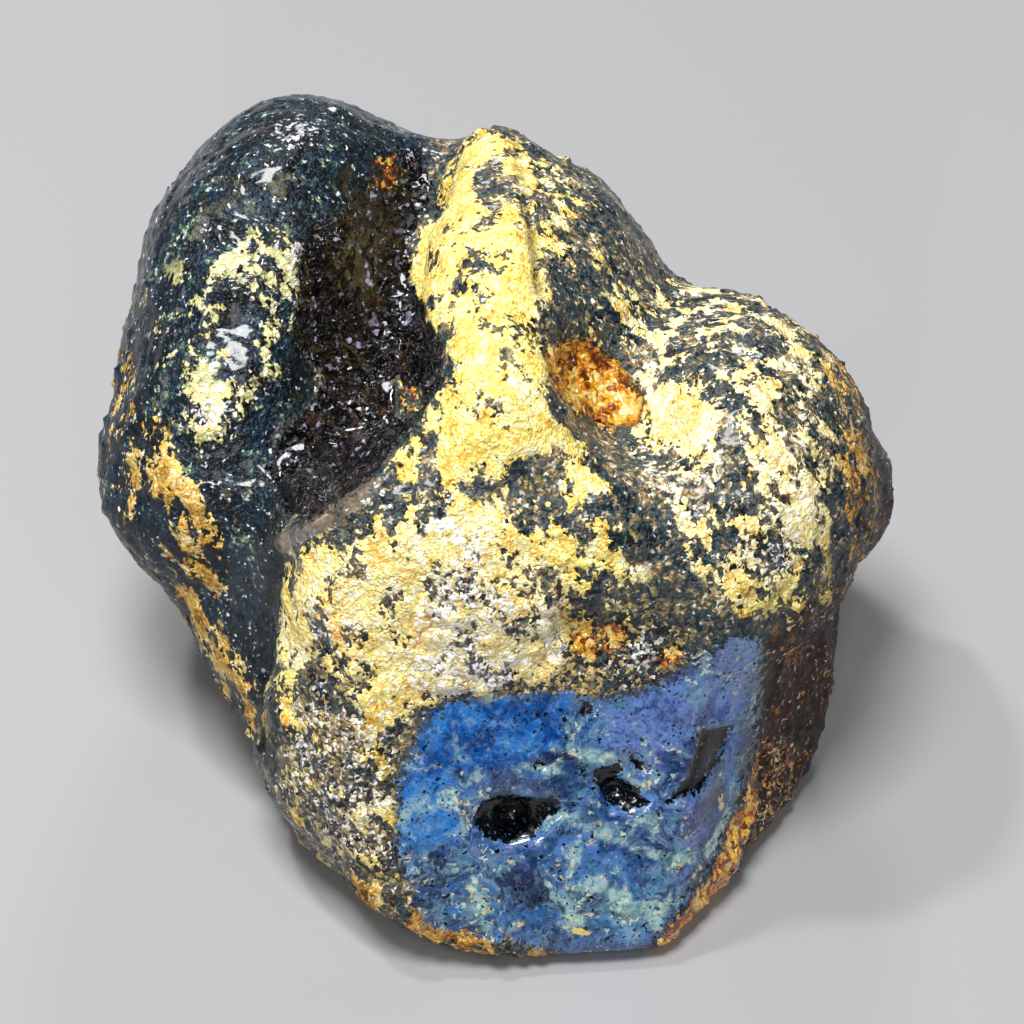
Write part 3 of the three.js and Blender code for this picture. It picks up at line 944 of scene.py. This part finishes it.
def feeds_in(group, feeds):
    known = [item.name for item in group.interface.items_tree if item.in_out == "INPUT"]
    return {known.index(label): value for label, value in feeds.items()}


print("helpers for groups are ready")

# %% [markdown]
# ## Grain, fragments and ragged edges
# Three effects come back in every finish: grain, fragments and ragged edges. Grain is plain fractal
# noise, drawn out a little along the way the sediment ran down. Blender's noise gives a value and a
# colour, and one part of the colour serves as a second value that runs its own way.

# %% Grain
RUN = (0.3, -0.3, -0.9)  # the way the sediment ran down
GRAIN_ROUGHNESS = 0.74

grain_group, given, gives = new_group(
    "grain", {"Size": 1.0, "Detail": 3.0, "Drawn out": 0.0}, {"Value": 0.0, "Second": 0.0}
)
t = grain_group
spot = place(t, given["Size"])
along = add(t, "ShaderNodeVectorMath", {0: RUN}, operation="SCALE")
shorter = times(t, vector(t, "DOT_PRODUCT", spot, RUN), given["Drawn out"], -1.0)
feed(t, along.inputs["Scale"], shorter)
cloud = add(t, "ShaderNodeTexNoise", {"Vector": vector(t, "ADD", spot, along.outputs[0]), "Scale": 1.0})
feed(t, cloud.inputs["Detail"], given["Detail"])
cloud.inputs["Roughness"].default_value = GRAIN_ROUGHNESS
feed(t, gives["Value"], between(t, cloud.outputs[0], 0.28, 0.72))
second = add(t, "ShaderNodeSeparateColor", {0: cloud.outputs[1]}).outputs[1]
feed(t, gives["Second"], between(t, second, 0.28, 0.72))
print("grain has", len(t.nodes), "nodes")

# %% [markdown]
# ## Fragments
# Plain Voronoi cells look like cut stone. When their position is first pushed about by noise, their
# borders wander like those of crumbs. The colour that Blender gives each cell is random, so its parts
# serve as two numbers, and as the way the cell leans.

# %% Fragments
BENDING = (1.5, 1.5, 1.5)

fragments_group, given, gives = new_group(
    "fragments", {"Size": 1.0}, {"Number": 0.0, "Second": 0.0, "Border": 0.0, "Lean": 0.0}
)
t = fragments_group
spot = place(t, given["Size"])
bend = noise_colour(t, spot, 0.0, 0.6)
bent = vector(t, "ADD", spot, vector(t, "MULTIPLY", bend, BENDING))
cell = add(t, "ShaderNodeTexVoronoi", {"Vector": bent, "Scale": 1.0})
numbers = add(t, "ShaderNodeSeparateColor", {0: cell.outputs["Color"]}).outputs
lean = vector(t, "SUBTRACT", cell.outputs["Color"], (0.5, 0.5, 0.5))
away = vector(t, "SUBTRACT", bent, cell.outputs["Position"])
feed(t, gives["Number"], numbers[0])
feed(t, gives["Second"], numbers[1])
feed(t, gives["Border"], between(t, cell.outputs["Distance"], 0.3, 0.65))
feed(t, gives["Lean"], vector(t, "DOT_PRODUCT", away, lean))
print("fragments have", len(t.nodes), "nodes")

# %% [markdown]
# ## Ragged edges
# A soft mask runs from 0 to 1 over a few millimetres. Noise is added to it, and the sum is cut at a
# half: near the edge the noise decides on which side of the cut a place falls, so the edge tears.

# %% Ragged edges
ragged_group, given, gives = new_group(
    "ragged edge", {"Mask": 0.0, "Grain": 0.5, "Tear": 0.8, "Softness": 0.1}, {"Mask": 0.0}
)
t = ragged_group
centred = calc(t, "SUBTRACT", given["Grain"], 0.5)
torn = calc(t, "MULTIPLY_ADD", centred, given["Tear"], given["Mask"])
low = calc(t, "SUBTRACT", 0.5, given["Softness"])
high = calc(t, "ADD", 0.5, given["Softness"])
feed(t, gives["Mask"], between(t, torn, low, high))


def grain_of(tree, size, detail, drawn_out=0.0):
    return use(tree, grain_group, Size=size, Detail=detail, Drawn_out=drawn_out)


def fragments_of(tree, size):
    return use(tree, fragments_group, Size=size)


def ragged(tree, mask, grain, tear, softness):
    return use(tree, ragged_group, Mask=mask, Grain=grain, Tear=tear, Softness=softness)[0]


print("shared effects", [g.name for g in bpy.data.node_groups])

# %% [markdown]
# ## The colours of the crumbs
# Under the crust the nugget is a mosaic of dark crumbs: blue-black and teal on the left lobe, slate,
# steel blue and brown on the slope, dark amber on the wall, with a few pale and golden ones. The wall's
# crumbs are darker than its amber alone: painted shade. The crust is yellow, cream or ochre, and
# greenish on the lobe; the ochre is partly painted shade. Each family of crumbs is a ramp: a value,
# which differs from crumb to crumb, picks its place on the ramp.

# %% Colours of the crumbs
SLOPE_CRUMBS = {
    0.2: (8, 16, 22), 0.33: (26, 50, 58), 0.41: (50, 80, 96), 0.46: (98, 76, 48), 0.52: (38, 64, 70),
    0.6: (92, 106, 98), 0.68: (158, 116, 62), 0.78: (186, 178, 144), 0.88: (236, 232, 204),
}
LOBE_CRUMBS = {
    0.2: (3, 8, 12), 0.4: (8, 22, 30), 0.5: (14, 46, 56), 0.57: (8, 24, 36), 0.64: (18, 50, 82),
    0.73: (40, 72, 74), 0.82: (106, 128, 98), 0.9: (196, 212, 176),
}
# dark amber crumbs of the wall, made darker still as painted shade
WALL_CRUMBS_WITH_PAINTED_SHADE = {
    0.2: (4, 2, 1), 0.4: (26, 12, 2), 0.52: (78, 42, 4), 0.6: (22, 10, 2), 0.7: (118, 66, 6),
    0.84: (214, 146, 32),
}
YELLOW_CRUMBS = {
    0.12: (200, 130, 48), 0.28: (248, 196, 86), 0.42: (255, 230, 118), 0.58: (255, 242, 148),
    0.78: (255, 252, 206),
}
CREAM_CRUMBS = {
    0.12: (216, 160, 80), 0.26: (250, 210, 122), 0.42: (255, 240, 168), 0.56: (255, 250, 208),
    0.76: (255, 255, 244),
}
OCHRE_CRUMBS = {
    0.2: (90, 54, 20), 0.38: (172, 108, 38), 0.5: (222, 158, 62), 0.66: (250, 206, 108),
    0.82: (255, 236, 170),
}
GREEN_CRUMBS = {
    0.2: (70, 96, 84), 0.38: (150, 168, 122), 0.52: (206, 208, 138), 0.66: (240, 236, 184),
    0.82: (214, 230, 226),
}
DUSTED_CRUMBS = {
    0.2: (50, 40, 30), 0.34: (112, 82, 44), 0.43: (172, 128, 66), 0.51: (104, 106, 98), 0.62: (184, 154, 102),
    0.8: (232, 214, 166),
}
SLATE, SAND = screen_colour(52, 66, 76), screen_colour(246, 214, 128)
INK, RUST, UMBER = screen_colour(4, 6, 9), screen_colour(150, 92, 34), screen_colour(44, 26, 10)
PAINTED_GLINT_WHITE, GREY = screen_colour(250, 248, 252), screen_colour(140, 120, 96)
print("the slope's crumbs have", len(SLOPE_CRUMBS), "colours")

# %% [markdown]
# ## The dark skin
# The skin is one group, because it also shows at the edges of the other finishes. It starts with the
# dark crumbs. Some take their number from a small crumb and some from a larger shard, so the mosaic
# has pieces of two sizes.

# %% Weathered skin
SKIN_MASKS = ("crust", "cream", "ochre_and_shade", "wall", "lobe", "pebbles", "wet", "lip", "crack")
SKIN_NOISES = ("Clouds", "Tones", "Dust", "Shard", "Shard tone", "Crumb", "Crumb tone", "Border", "Lean")
skin_group, given, gives = new_group(
    "weathered skin",
    {name: 0.0 for name in SKIN_MASKS} | {name: 0.5 for name in SKIN_NOISES},
    {"Color": (0.0, 0.0, 0.0, 1.0), "Roughness": 0.0, "Gloss": 0.0, "Height": 0.0},
)
t = skin_group
tones, dust, border = given["Tones"], given["Dust"], given["Border"]
small = between(t, given["Crumb tone"], 0.45, 0.5)
number = add(t, "ShaderNodeMix", {0: small, 2: given["Shard"], 3: given["Crumb"]}).outputs[0]
value = mixed(t, (0.42, number), (0.36, tones), (0.22, dust))
colour = blend(t, given["lobe"], pick(t, value, SLOPE_CRUMBS), pick(t, value, LOBE_CRUMBS))
# on the wall, dark amber crumbs that also carry painted shade
colour = blend(t, given["wall"], colour, pick(t, value, WALL_CRUMBS_WITH_PAINTED_SHADE))
colour = blend(t, times(t, border, 0.25), colour, INK)
print("the dark skin has", len(t.nodes), "nodes")

# %% [markdown]
# ## The crust over it
# Yellow sediment lies over the dark skin, solid in some patches and broken into flakes in others. The
# same noise makes both: where the crust's share is high most of the flakes pass, and where it is low
# only a few do. Around the flakes the skin is dusted with brown, and rusty seams run through them.

# %% Crust on the skin
density = mixed(t, (0.66, given["Clouds"]), (0.14, given["Shard tone"]), (0.2, given["Crumb"]))
density = between(t, density, 0.15, 0.85)
crust_share = ragged(t, given["crust"], density, 1.3, 0.06)
dusted = ragged(t, given["crust"], density, 1.3, 0.34)
at_all = between(t, given["crust"], 0.02, 0.12)
crust_share = times(t, crust_share, at_all)
dusted = times(t, dusted, at_all, between(t, given["lobe"], 0.0, 1.0, 0.9, 0.4))
colour = blend(t, dusted, colour, pick(t, value, DUSTED_CRUMBS))
crust_value = mixed(t, (0.34, given["Crumb"]), (0.2, given["Shard"]), (0.2, dust), (0.26, tones))
crust_colour = pick(t, crust_value, YELLOW_CRUMBS)
crust_colour = blend(t, given["cream"], crust_colour, pick(t, crust_value, CREAM_CRUMBS))
# the ochre crust: darker on the low sides, partly painted shade
crust_colour = blend(t, given["ochre_and_shade"], crust_colour, pick(t, crust_value, OCHRE_CRUMBS))
thin_crust = between(t, given["crust"], 0.6, 0.85, 0.85, 0.0)
off_ochre = between(t, given["ochre_and_shade"], 0.0, 0.4, 1.0, 0.0)
green_share = times(t, given["lobe"], thin_crust, off_ochre)
crust_colour = blend(t, green_share, crust_colour, pick(t, crust_value, GREEN_CRUMBS))
crust_colour = blend(t, times(t, border, 0.22), crust_colour, RUST)
seam = calc(t, "ABSOLUTE", calc(t, "SUBTRACT", tones, 0.42))
crust_colour = blend(t, between(t, seam, 0.0, 0.02, 0.4, 0.0), crust_colour, RUST)
colour = blend(t, crust_share, colour, crust_colour)
print("with the crust on it the skin has", len(t.nodes), "nodes")

# %% [markdown]
# ## Grit, glints and the lip
# Round grains of sand sit in the pebbly places, and on wet crumbs white glints are painted into the
# colour as painted highlights. The lip between the hollow and the front is worn smooth and grey, and
# the cracks are darkened to ink, with a wider band of painted shade along the crease at the left.

# %% Grit, glints and the lip
gritty = times(t, given["pebbles"], between(t, given["crust"], 0.4, 0.75, 0.7, 0.05))
grit = blend(t, between(t, given["Crumb"], 0.3, 0.75), UMBER, blend(t, given["Crumb tone"], GREY, SAND))
colour = blend(t, times(t, gritty, small), colour, grit)
# painted highlights: white glints painted into the colour on the wet places
painted_glints = ragged(t, times(t, given["wet"], 0.56), mixed(t, (0.6, given["Crumb"]), (0.4, dust)), 1.3, 0.06)
painted_glints = times(t, painted_glints, calc(t, "SUBTRACT", 1.0, times(t, border, 0.6)))
colour = blend(t, times(t, painted_glints, 0.9), colour, PAINTED_GLINT_WHITE)

lip_share = between(t, given["lip"], 0.35, 0.6)
colour = blend(t, times(t, lip_share, 0.85), colour, blend(t, given["Clouds"], SLATE, GREY))
# the cracks are darkened to ink, and along the crease a wider band of painted shade
colour = blend(t, times(t, given["crack"], 0.8), colour, INK)
feed(t, gives["Color"], colour)
print("with grit and glints the skin has", len(t.nodes), "nodes")

# %% [markdown]
# ## Gloss and height
# Dry crust is dull. The dark skin is a little glossy, more so on the lobe, and wet places shine. The
# height goes into the bump of a finish: crust stands out, borders of crumbs sink in, and every crumb
# leans its own way, so that each catches the light at another moment.

# %% Gloss and height of the skin
bare = calc(t, "SUBTRACT", 1.0, crust_share)
damp = calc(t, "MAXIMUM", given["wet"], times(t, given["pebbles"], 0.5))
gloss = calc(t, "MAXIMUM", times(t, bare, between(t, given["lobe"], 0.0, 1.0, 0.35, 0.55)), damp)
gloss = calc(t, "MAXIMUM", times(t, gloss, between(t, given["ochre_and_shade"], 0.0, 1.0, 1.0, 0.4)), lip_share)
feed(t, gives["Gloss"], gloss)
feed(t, gives["Roughness"], between(t, gloss, 0.0, 0.9, 0.62, 0.3))
height = mixed(t, (0.3, crust_share), (0.25, given["Clouds"]), (0.2, dust), (-0.15, border))
leaning = calc(t, "MAXIMUM", 0.4, times(t, damp, 0.9))
leaning = times(t, leaning, between(t, lip_share, 0.0, 1.0, 1.0, 0.15))
height = times(t, height, between(t, lip_share, 0.0, 1.0, 1.0, 0.3))
height = calc(t, "MULTIPLY_ADD", given["Lean"], leaning, height)
feed(t, gives["Height"], height)
print("weathered skin has", len(t.nodes), "nodes")

# %% [markdown]
# ## The swirls in the window
# Blue amber glows blue where light falls on it. In the ground window the glow runs in swirls of
# royal blue, periwinkle and turquoise, with white flecks. Noise that is bent by other noise gives
# such swirls.

# %% Blue swirls
ROYAL, DEEP, AZURE = screen_colour(16, 88, 172), screen_colour(12, 36, 80), screen_colour(48, 126, 206)
STEEL, LILAC, VIOLET = screen_colour(60, 112, 176), screen_colour(108, 142, 214), screen_colour(66, 66, 132)
PALE_BLUE = screen_colour(150, 180, 214)
TURQUOISE, MILK, MURK = screen_colour(104, 176, 196), screen_colour(214, 232, 206), screen_colour(34, 44, 62)

SWIRL_SIZE, FLECK_SIZE = 4.0, 0.34  # mm
SWIRL_BENDING = (2.4, 2.4, 2.4)

swirl_group, given, gives = new_group(
    "blue swirls",
    {"Royal": 0.0, "Lilac": 0.0, "Murky": 0.0, "Veins": 0.0, "Dust": 0.5},
    {"Color": (0.0, 0.0, 0.0, 1.0)},
)
t = swirl_group
spot = place(t, SWIRL_SIZE)
bend = noise_colour(t, spot, 2.0, 0.5)
bent = vector(t, "ADD", spot, vector(t, "MULTIPLY", bend, SWIRL_BENDING))
swirl = add(t, "ShaderNodeTexNoise", {"Vector": bent, "Scale": 1.0, "Detail": 5.0, "Roughness": 0.62})
first = between(t, swirl.outputs[0], 0.3, 0.7)
second = between(t, add(t, "ShaderNodeSeparateColor", {0: swirl.outputs[1]}).outputs[1], 0.32, 0.68)
colour = blend(t, first, DEEP, STEEL)
colour = blend(t, between(t, first, 0.6, 1.0, 0.0, 0.7), colour, LILAC)
royal_share = ragged(t, given["Royal"], first, 0.9, 0.3)
colour = blend(t, royal_share, colour, blend(t, between(t, second, 0.2, 0.9), ROYAL, AZURE))
lilac_share = ragged(t, given["Lilac"], second, 0.9, 0.3)
colour = blend(t, times(t, lilac_share, 0.85), colour, blend(t, first, VIOLET, LILAC))
murky_share = ragged(t, given["Murky"], second, 0.8, 0.3)
colour = blend(t, times(t, murky_share, 0.85), colour, blend(t, between(t, first, 0.4, 1.0), MURK, STEEL))
off_royal = calc(t, "SUBTRACT", 1.0, times(t, royal_share, 0.75))
wisps = times(t, between(t, second, 0.6, 1.0), off_royal, 0.35)
colour = blend(t, wisps, colour, TURQUOISE)
line = calc(t, "ABSOLUTE", calc(t, "SUBTRACT", swirl.outputs[0], 0.5))
lines = times(t, between(t, line, 0.0, 0.03, 0.4, 0.0), between(t, second, 0.3, 0.6))
colour = blend(t, lines, colour, PALE_BLUE)
shade = times(t, between(t, second, 0.35, 0.1), 0.45)
colour = blend(t, shade, colour, DEEP)
print("the swirls have", len(t.nodes), "nodes")

# %% [markdown]
# ## Veins and flecks in the window
# Milky veins follow the strokes that were drawn for them, torn by a third part of the noise. Small
# fragments give pale and golden flecks, dark specks, and a little difference from place to place.

# %% Veins and flecks
curls = between(t, add(t, "ShaderNodeSeparateColor", {0: swirl.outputs[1]}).outputs[2], 0.32, 0.68)
milky = ragged(t, times(t, given["Veins"], 0.7), curls, 1.1, 0.35)
colour = blend(t, times(t, milky, 0.75), colour, blend(t, given["Dust"], TURQUOISE, MILK))
crumbs = fragments_of(t, FLECK_SIZE)
fleck_share = times(t, between(t, crumbs["Number"], 0.84, 0.88), between(t, curls, 0.4, 0.8), off_royal)
fleck_colour = blend(t, between(t, crumbs["Second"], 0.6, 0.7), MILK, SAND)
colour = blend(t, times(t, fleck_share, 0.8), colour, fleck_colour)
dark_share = times(t, between(t, crumbs["Number"], 0.2, 0.16), between(t, curls, 0.6, 0.2), 0.6)
colour = blend(t, dark_share, colour, DEEP)
colour = blend(t, times(t, between(t, crumbs["Second"], 0.5, 1.0), 0.16), colour, PALE_BLUE)
colour = blend(t, times(t, between(t, given["Dust"], 0.5, 0.1), 0.25), colour, DEEP)
feed(t, gives["Color"], colour)
print("with veins and flecks they have", len(t.nodes), "nodes")

# %% [markdown]
# ## The four finishes
# The crusted skin is opaque, with a thin wet gloss. The window, the honey-coloured breaks and the
# dark glassy breaks are resin: light enters them and is soaked up on its way, so each has a plain
# share of transmission, the refraction of amber, 1.54, and an absorption colour.

# %% What every finish has
AMBER_IOR = 1.54
WET_ROUGHNESS = 0.11
BUMP_HEIGHT = 0.35 * MM
CLOUD_SIZE, DUST_SIZE, CRUMB_SIZE = 2.4, 0.45, 0.4  # mm
NOTHING = (0.0, 0.0, 0.0, 1.0)


def read_mask(tree, name):
    return add(tree, "ShaderNodeAttribute", attribute_name=name).outputs["Fac"]


def new_finish(name, tint=None, density=0.0):
    """A material with the amber's refraction. Light that goes through a clear one takes on its tint."""
    material = bpy.data.materials.new(name)
    material.use_nodes = True
    # the only emission here is a painted glow
    material.cycles.emission_sampling = "NONE"  # the glow is too weak to be worth a lamp's rays
    tree = material.node_tree
    shader = tree.nodes["Principled BSDF"]
    shader.inputs["IOR"].default_value = AMBER_IOR
    shader.inputs["Coat Roughness"].default_value = WET_ROUGHNESS
    if tint:
        soak = add(tree, "ShaderNodeVolumeAbsorption")
        soak.inputs["Color"].default_value = screen_colour(*tint)
        soak.inputs["Density"].default_value = density
        tree.links.new(soak.outputs[0], tree.nodes["Material Output"].inputs["Volume"])
    return material, tree, shader.inputs


def skin_in(tree):
    """The weathered skin in a finish, and the crumbs and dust that tear the finish's own edge."""
    feeds = {name: read_mask(tree, name) for name in SKIN_MASKS}
    coarse = grain_of(tree, CLOUD_SIZE, 3.0, 0.45)
    dust = grain_of(tree, DUST_SIZE, 1.0)["Value"]
    crumbs = fragments_of(tree, CRUMB_SIZE)
    feeds |= {"Clouds": coarse["Value"], "Tones": coarse["Second"], "Dust": dust}
    feeds |= {"Shard": read_mask(tree, "shard"), "Shard tone": read_mask(tree, "shard tone")}
    feeds |= {"Crumb": crumbs["Number"], "Crumb tone": crumbs["Second"]}
    feeds |= {"Border": crumbs["Border"], "Lean": crumbs["Lean"]}
    tear = mixed(tree, (0.5, crumbs["Number"]), (0.5, dust))
    weathered = add(tree, "ShaderNodeGroup", feeds_in(skin_group, feeds), node_tree=skin_group)
    return weathered.outputs, tear


def bump(tree, height):
    feeds = {"Height": height, "Strength": 1.0, "Distance": BUMP_HEIGHT}
    return add(tree, "ShaderNodeBump", feeds).outputs[0]


print("one coat roughness for all finishes:", WET_ROUGHNESS)

# %% [markdown]
# ## Crusted skin
# This is the plainest finish: the weathered skin as it is. Its own sheen is kept low, so that the dry
# crust doesn't look like plastic, and the wet gloss comes from the coat.

# %% Crusted skin
DRY_SPECULAR = 0.3

crusted, t, shader = new_finish("crusted skin")
shader["Specular IOR Level"].default_value = DRY_SPECULAR
weathered, tear = skin_in(t)
feed(t, shader["Base Color"], weathered["Color"])
feed(t, shader["Roughness"], weathered["Roughness"])
feed(t, shader["Coat Weight"], weathered["Gloss"])
feed(t, shader["Normal"], bump(t, weathered["Height"]))
print("crusted skin has", len(t.nodes), "nodes")

# %% [markdown]
# ## Blue window
# The ground face is smooth and lets some light in. A faint painted glow, emission in its own
# colours, stands in for the blue glow of blue amber. Black spots, gold grains and the ragged border of
# weathered skin lie over it.

# %% Blue window
WINDOW_TINT, WINDOW_DENSITY = (90, 150, 230), 120.0
# painted glow: emission in the window's own colours
WINDOW_PAINTED_GLOW, WINDOW_LETS_IN = 0.1, 0.2
GROUND_ROUGHNESS, SKIN_ROUGHNESS = 0.16, 0.6

blue_window, t, shader = new_finish("blue window", WINDOW_TINT, WINDOW_DENSITY)
weathered, tear = skin_in(t)
blue = use(
    t, swirl_group, Royal=read_mask(t, "royal"), Lilac=read_mask(t, "lilac"),
    Murky=read_mask(t, "murky"), Veins=read_mask(t, "veins"), Dust=tear,
)
open_share = ragged(t, read_mask(t, "window"), tear, 1.2, 0.1)
spot = ragged(t, read_mask(t, "black"), tear, 1.4, 0.1)
window_colour = blend(t, open_share, weathered["Color"], blue["Color"])
window_colour = blend(t, ragged(t, read_mask(t, "gold"), tear, 0.4, 0.1), window_colour, SAND)
window_colour = blend(t, spot, window_colour, INK)
feed(t, shader["Base Color"], window_colour)
feed(t, shader["Roughness"], between(t, open_share, 0.0, 1.0, SKIN_ROUGHNESS, GROUND_ROUGHNESS))
clear_share = times(t, open_share, calc(t, "SUBTRACT", 1.0, spot))
feed(t, shader["Coat Weight"], times(t, clear_share, 0.5))
# painted glow: the open window gives off its own blue as emission
feed(t, shader["Emission Color"], blend(t, clear_share, NOTHING, blue["Color"]))
shader["Emission Strength"].default_value = WINDOW_PAINTED_GLOW
shader["Transmission Weight"].default_value = WINDOW_LETS_IN
polish = between(t, read_mask(t, "window"), 0.3, 0.7, 1.0, 0.12)
feed(t, shader["Normal"], bump(t, times(t, weathered["Height"], polish)))
print("blue window has", len(t.nodes), "nodes")

# %% [markdown]
# ## Clear amber
# Where the skin is thin the resin shows its own colour, from dark brown through orange to pale gold.
# Chips pick most of the colour, and a coarse drawn-out grain gathers them into darker and lighter
# parts.

# %% Clear amber
HONEY_TINT, HONEY_DENSITY = (255, 170, 60), 150.0
# painted glow: emission in the clear amber's own colour, so that it looks lit from within
HONEY_PAINTED_GLOW, HONEY_LETS_IN = 0.12, 0.25
HONEY_CHIP_SIZE, STREAK_SIZE = 0.48, 1.8  # mm
HONEY_CHIPS = {
    0.16: (20, 8, 3), 0.34: (104, 44, 6), 0.46: (206, 108, 12), 0.56: (248, 164, 28), 0.68: (255, 206, 74),
    0.8: (255, 236, 160),
}
clear_amber, t, shader = new_finish("clear amber", HONEY_TINT, HONEY_DENSITY)
weathered, tear = skin_in(t)
chips = fragments_of(t, HONEY_CHIP_SIZE)
streaks = grain_of(t, STREAK_SIZE, 4.0, 0.6)
open_share = ragged(t, read_mask(t, "honey"), tear, 1.0, 0.1)
honey_colour = pick(t, mixed(t, (0.4, chips["Number"]), (0.6, streaks["Value"])), HONEY_CHIPS)
feed(t, shader["Base Color"], blend(t, open_share, weathered["Color"], honey_colour))
feed(t, shader["Roughness"], between(t, open_share, 0.0, 1.0, 0.45, 0.12))
feed(t, shader["Coat Weight"], times(t, open_share, 0.8))
shader["Transmission Weight"].default_value = HONEY_LETS_IN
# painted glow: the clear amber gives off its own colour as emission
feed(t, shader["Emission Color"], blend(t, open_share, NOTHING, honey_colour))
shader["Emission Strength"].default_value = HONEY_PAINTED_GLOW
feed(t, shader["Normal"], bump(t, calc(t, "ADD", chips["Lean"], weathered["Height"])))
print("clear amber has", len(t.nodes), "nodes")

# %% [markdown]
# ## Glassy break
# The hollow is nearly black, with violet and brown chips. Its glints come from small faces that lean
# strongly, each its own way, so their lean is taken several times; its palest lavender chips are
# painted glints.

# %% Glassy break
GLASS_CHIP_SIZE = 0.5  # mm
GLASS_LEAN = 3.2
GLASS_TINT, GLASS_DENSITY = (100, 80, 90), 700.0
GLASS_SPECULAR, GLASS_LETS_IN = 0.35, 0.25
# the palest lavender stop is painted glints
BROKEN_GLASS_AND_PAINTED_GLINTS = {
    0.0: (3, 3, 5), 0.5: (12, 10, 14), 0.76: (26, 20, 24), 0.84: (70, 40, 18), 0.87: (20, 22, 30),
    0.955: (40, 44, 60), 0.975: (170, 168, 196),
}
glassy_break, t, shader = new_finish("glassy break", GLASS_TINT, GLASS_DENSITY)
weathered, tear = skin_in(t)
chips = fragments_of(t, GLASS_CHIP_SIZE)
open_share = ragged(t, read_mask(t, "glass"), tear, 0.9, 0.1)
# chip colours, the palest of them painted glints
chip_colour = pick(t, chips["Number"], BROKEN_GLASS_AND_PAINTED_GLINTS)
feed(t, shader["Base Color"], blend(t, open_share, weathered["Color"], chip_colour))
feed(t, shader["Roughness"], between(t, open_share, 0.0, 1.0, 0.4, 0.1))
feed(t, shader["Coat Weight"], times(t, open_share, 0.6))
shader["Specular IOR Level"].default_value = GLASS_SPECULAR
shader["Transmission Weight"].default_value = GLASS_LETS_IN
leaning = calc(t, "MULTIPLY_ADD", chips["Lean"], GLASS_LEAN, weathered["Height"])
feed(t, shader["Normal"], bump(t, leaning))
print("finishes", [m.name for m in (crusted, blue_window, clear_amber, glassy_break)])

# %% [markdown]
# ## Dressing the nugget
# Every face starts with the crusted skin. Glass, then honey, then the window take the faces where
# their masks pass a low limit, so that a finish reaches a little past its patch, and its own ragged
# edge then draws the border.

# %% Faces and finishes
FINISHES = (crusted, blue_window, clear_amber, glassy_break)
REACH = 0.15
for finish in FINISHES:
    skin.materials.append(finish)
corners = np.empty(len(skin.loops), np.int32)
skin.loops.foreach_get("vertex_index", corners)
first_corner = np.empty(len(skin.polygons), np.int32)
skin.polygons.foreach_get("loop_start", first_corner)


def on_faces(mask):
    return mask[corners[first_corner]]


finish_of_face = np.zeros(len(skin.polygons), np.int32)
finish_of_face[on_faces(glass) > REACH] = FINISHES.index(glassy_break)
finish_of_face[on_faces(honey) > REACH] = FINISHES.index(clear_amber)
finish_of_face[on_faces(window) > REACH] = FINISHES.index(blue_window)
skin.polygons.foreach_set("material_index", finish_of_face)
skin.update()
print("faces of each finish", np.bincount(finish_of_face).tolist())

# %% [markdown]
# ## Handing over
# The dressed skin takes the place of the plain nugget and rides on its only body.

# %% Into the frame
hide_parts("amber_nugget")
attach(nugget, "root")
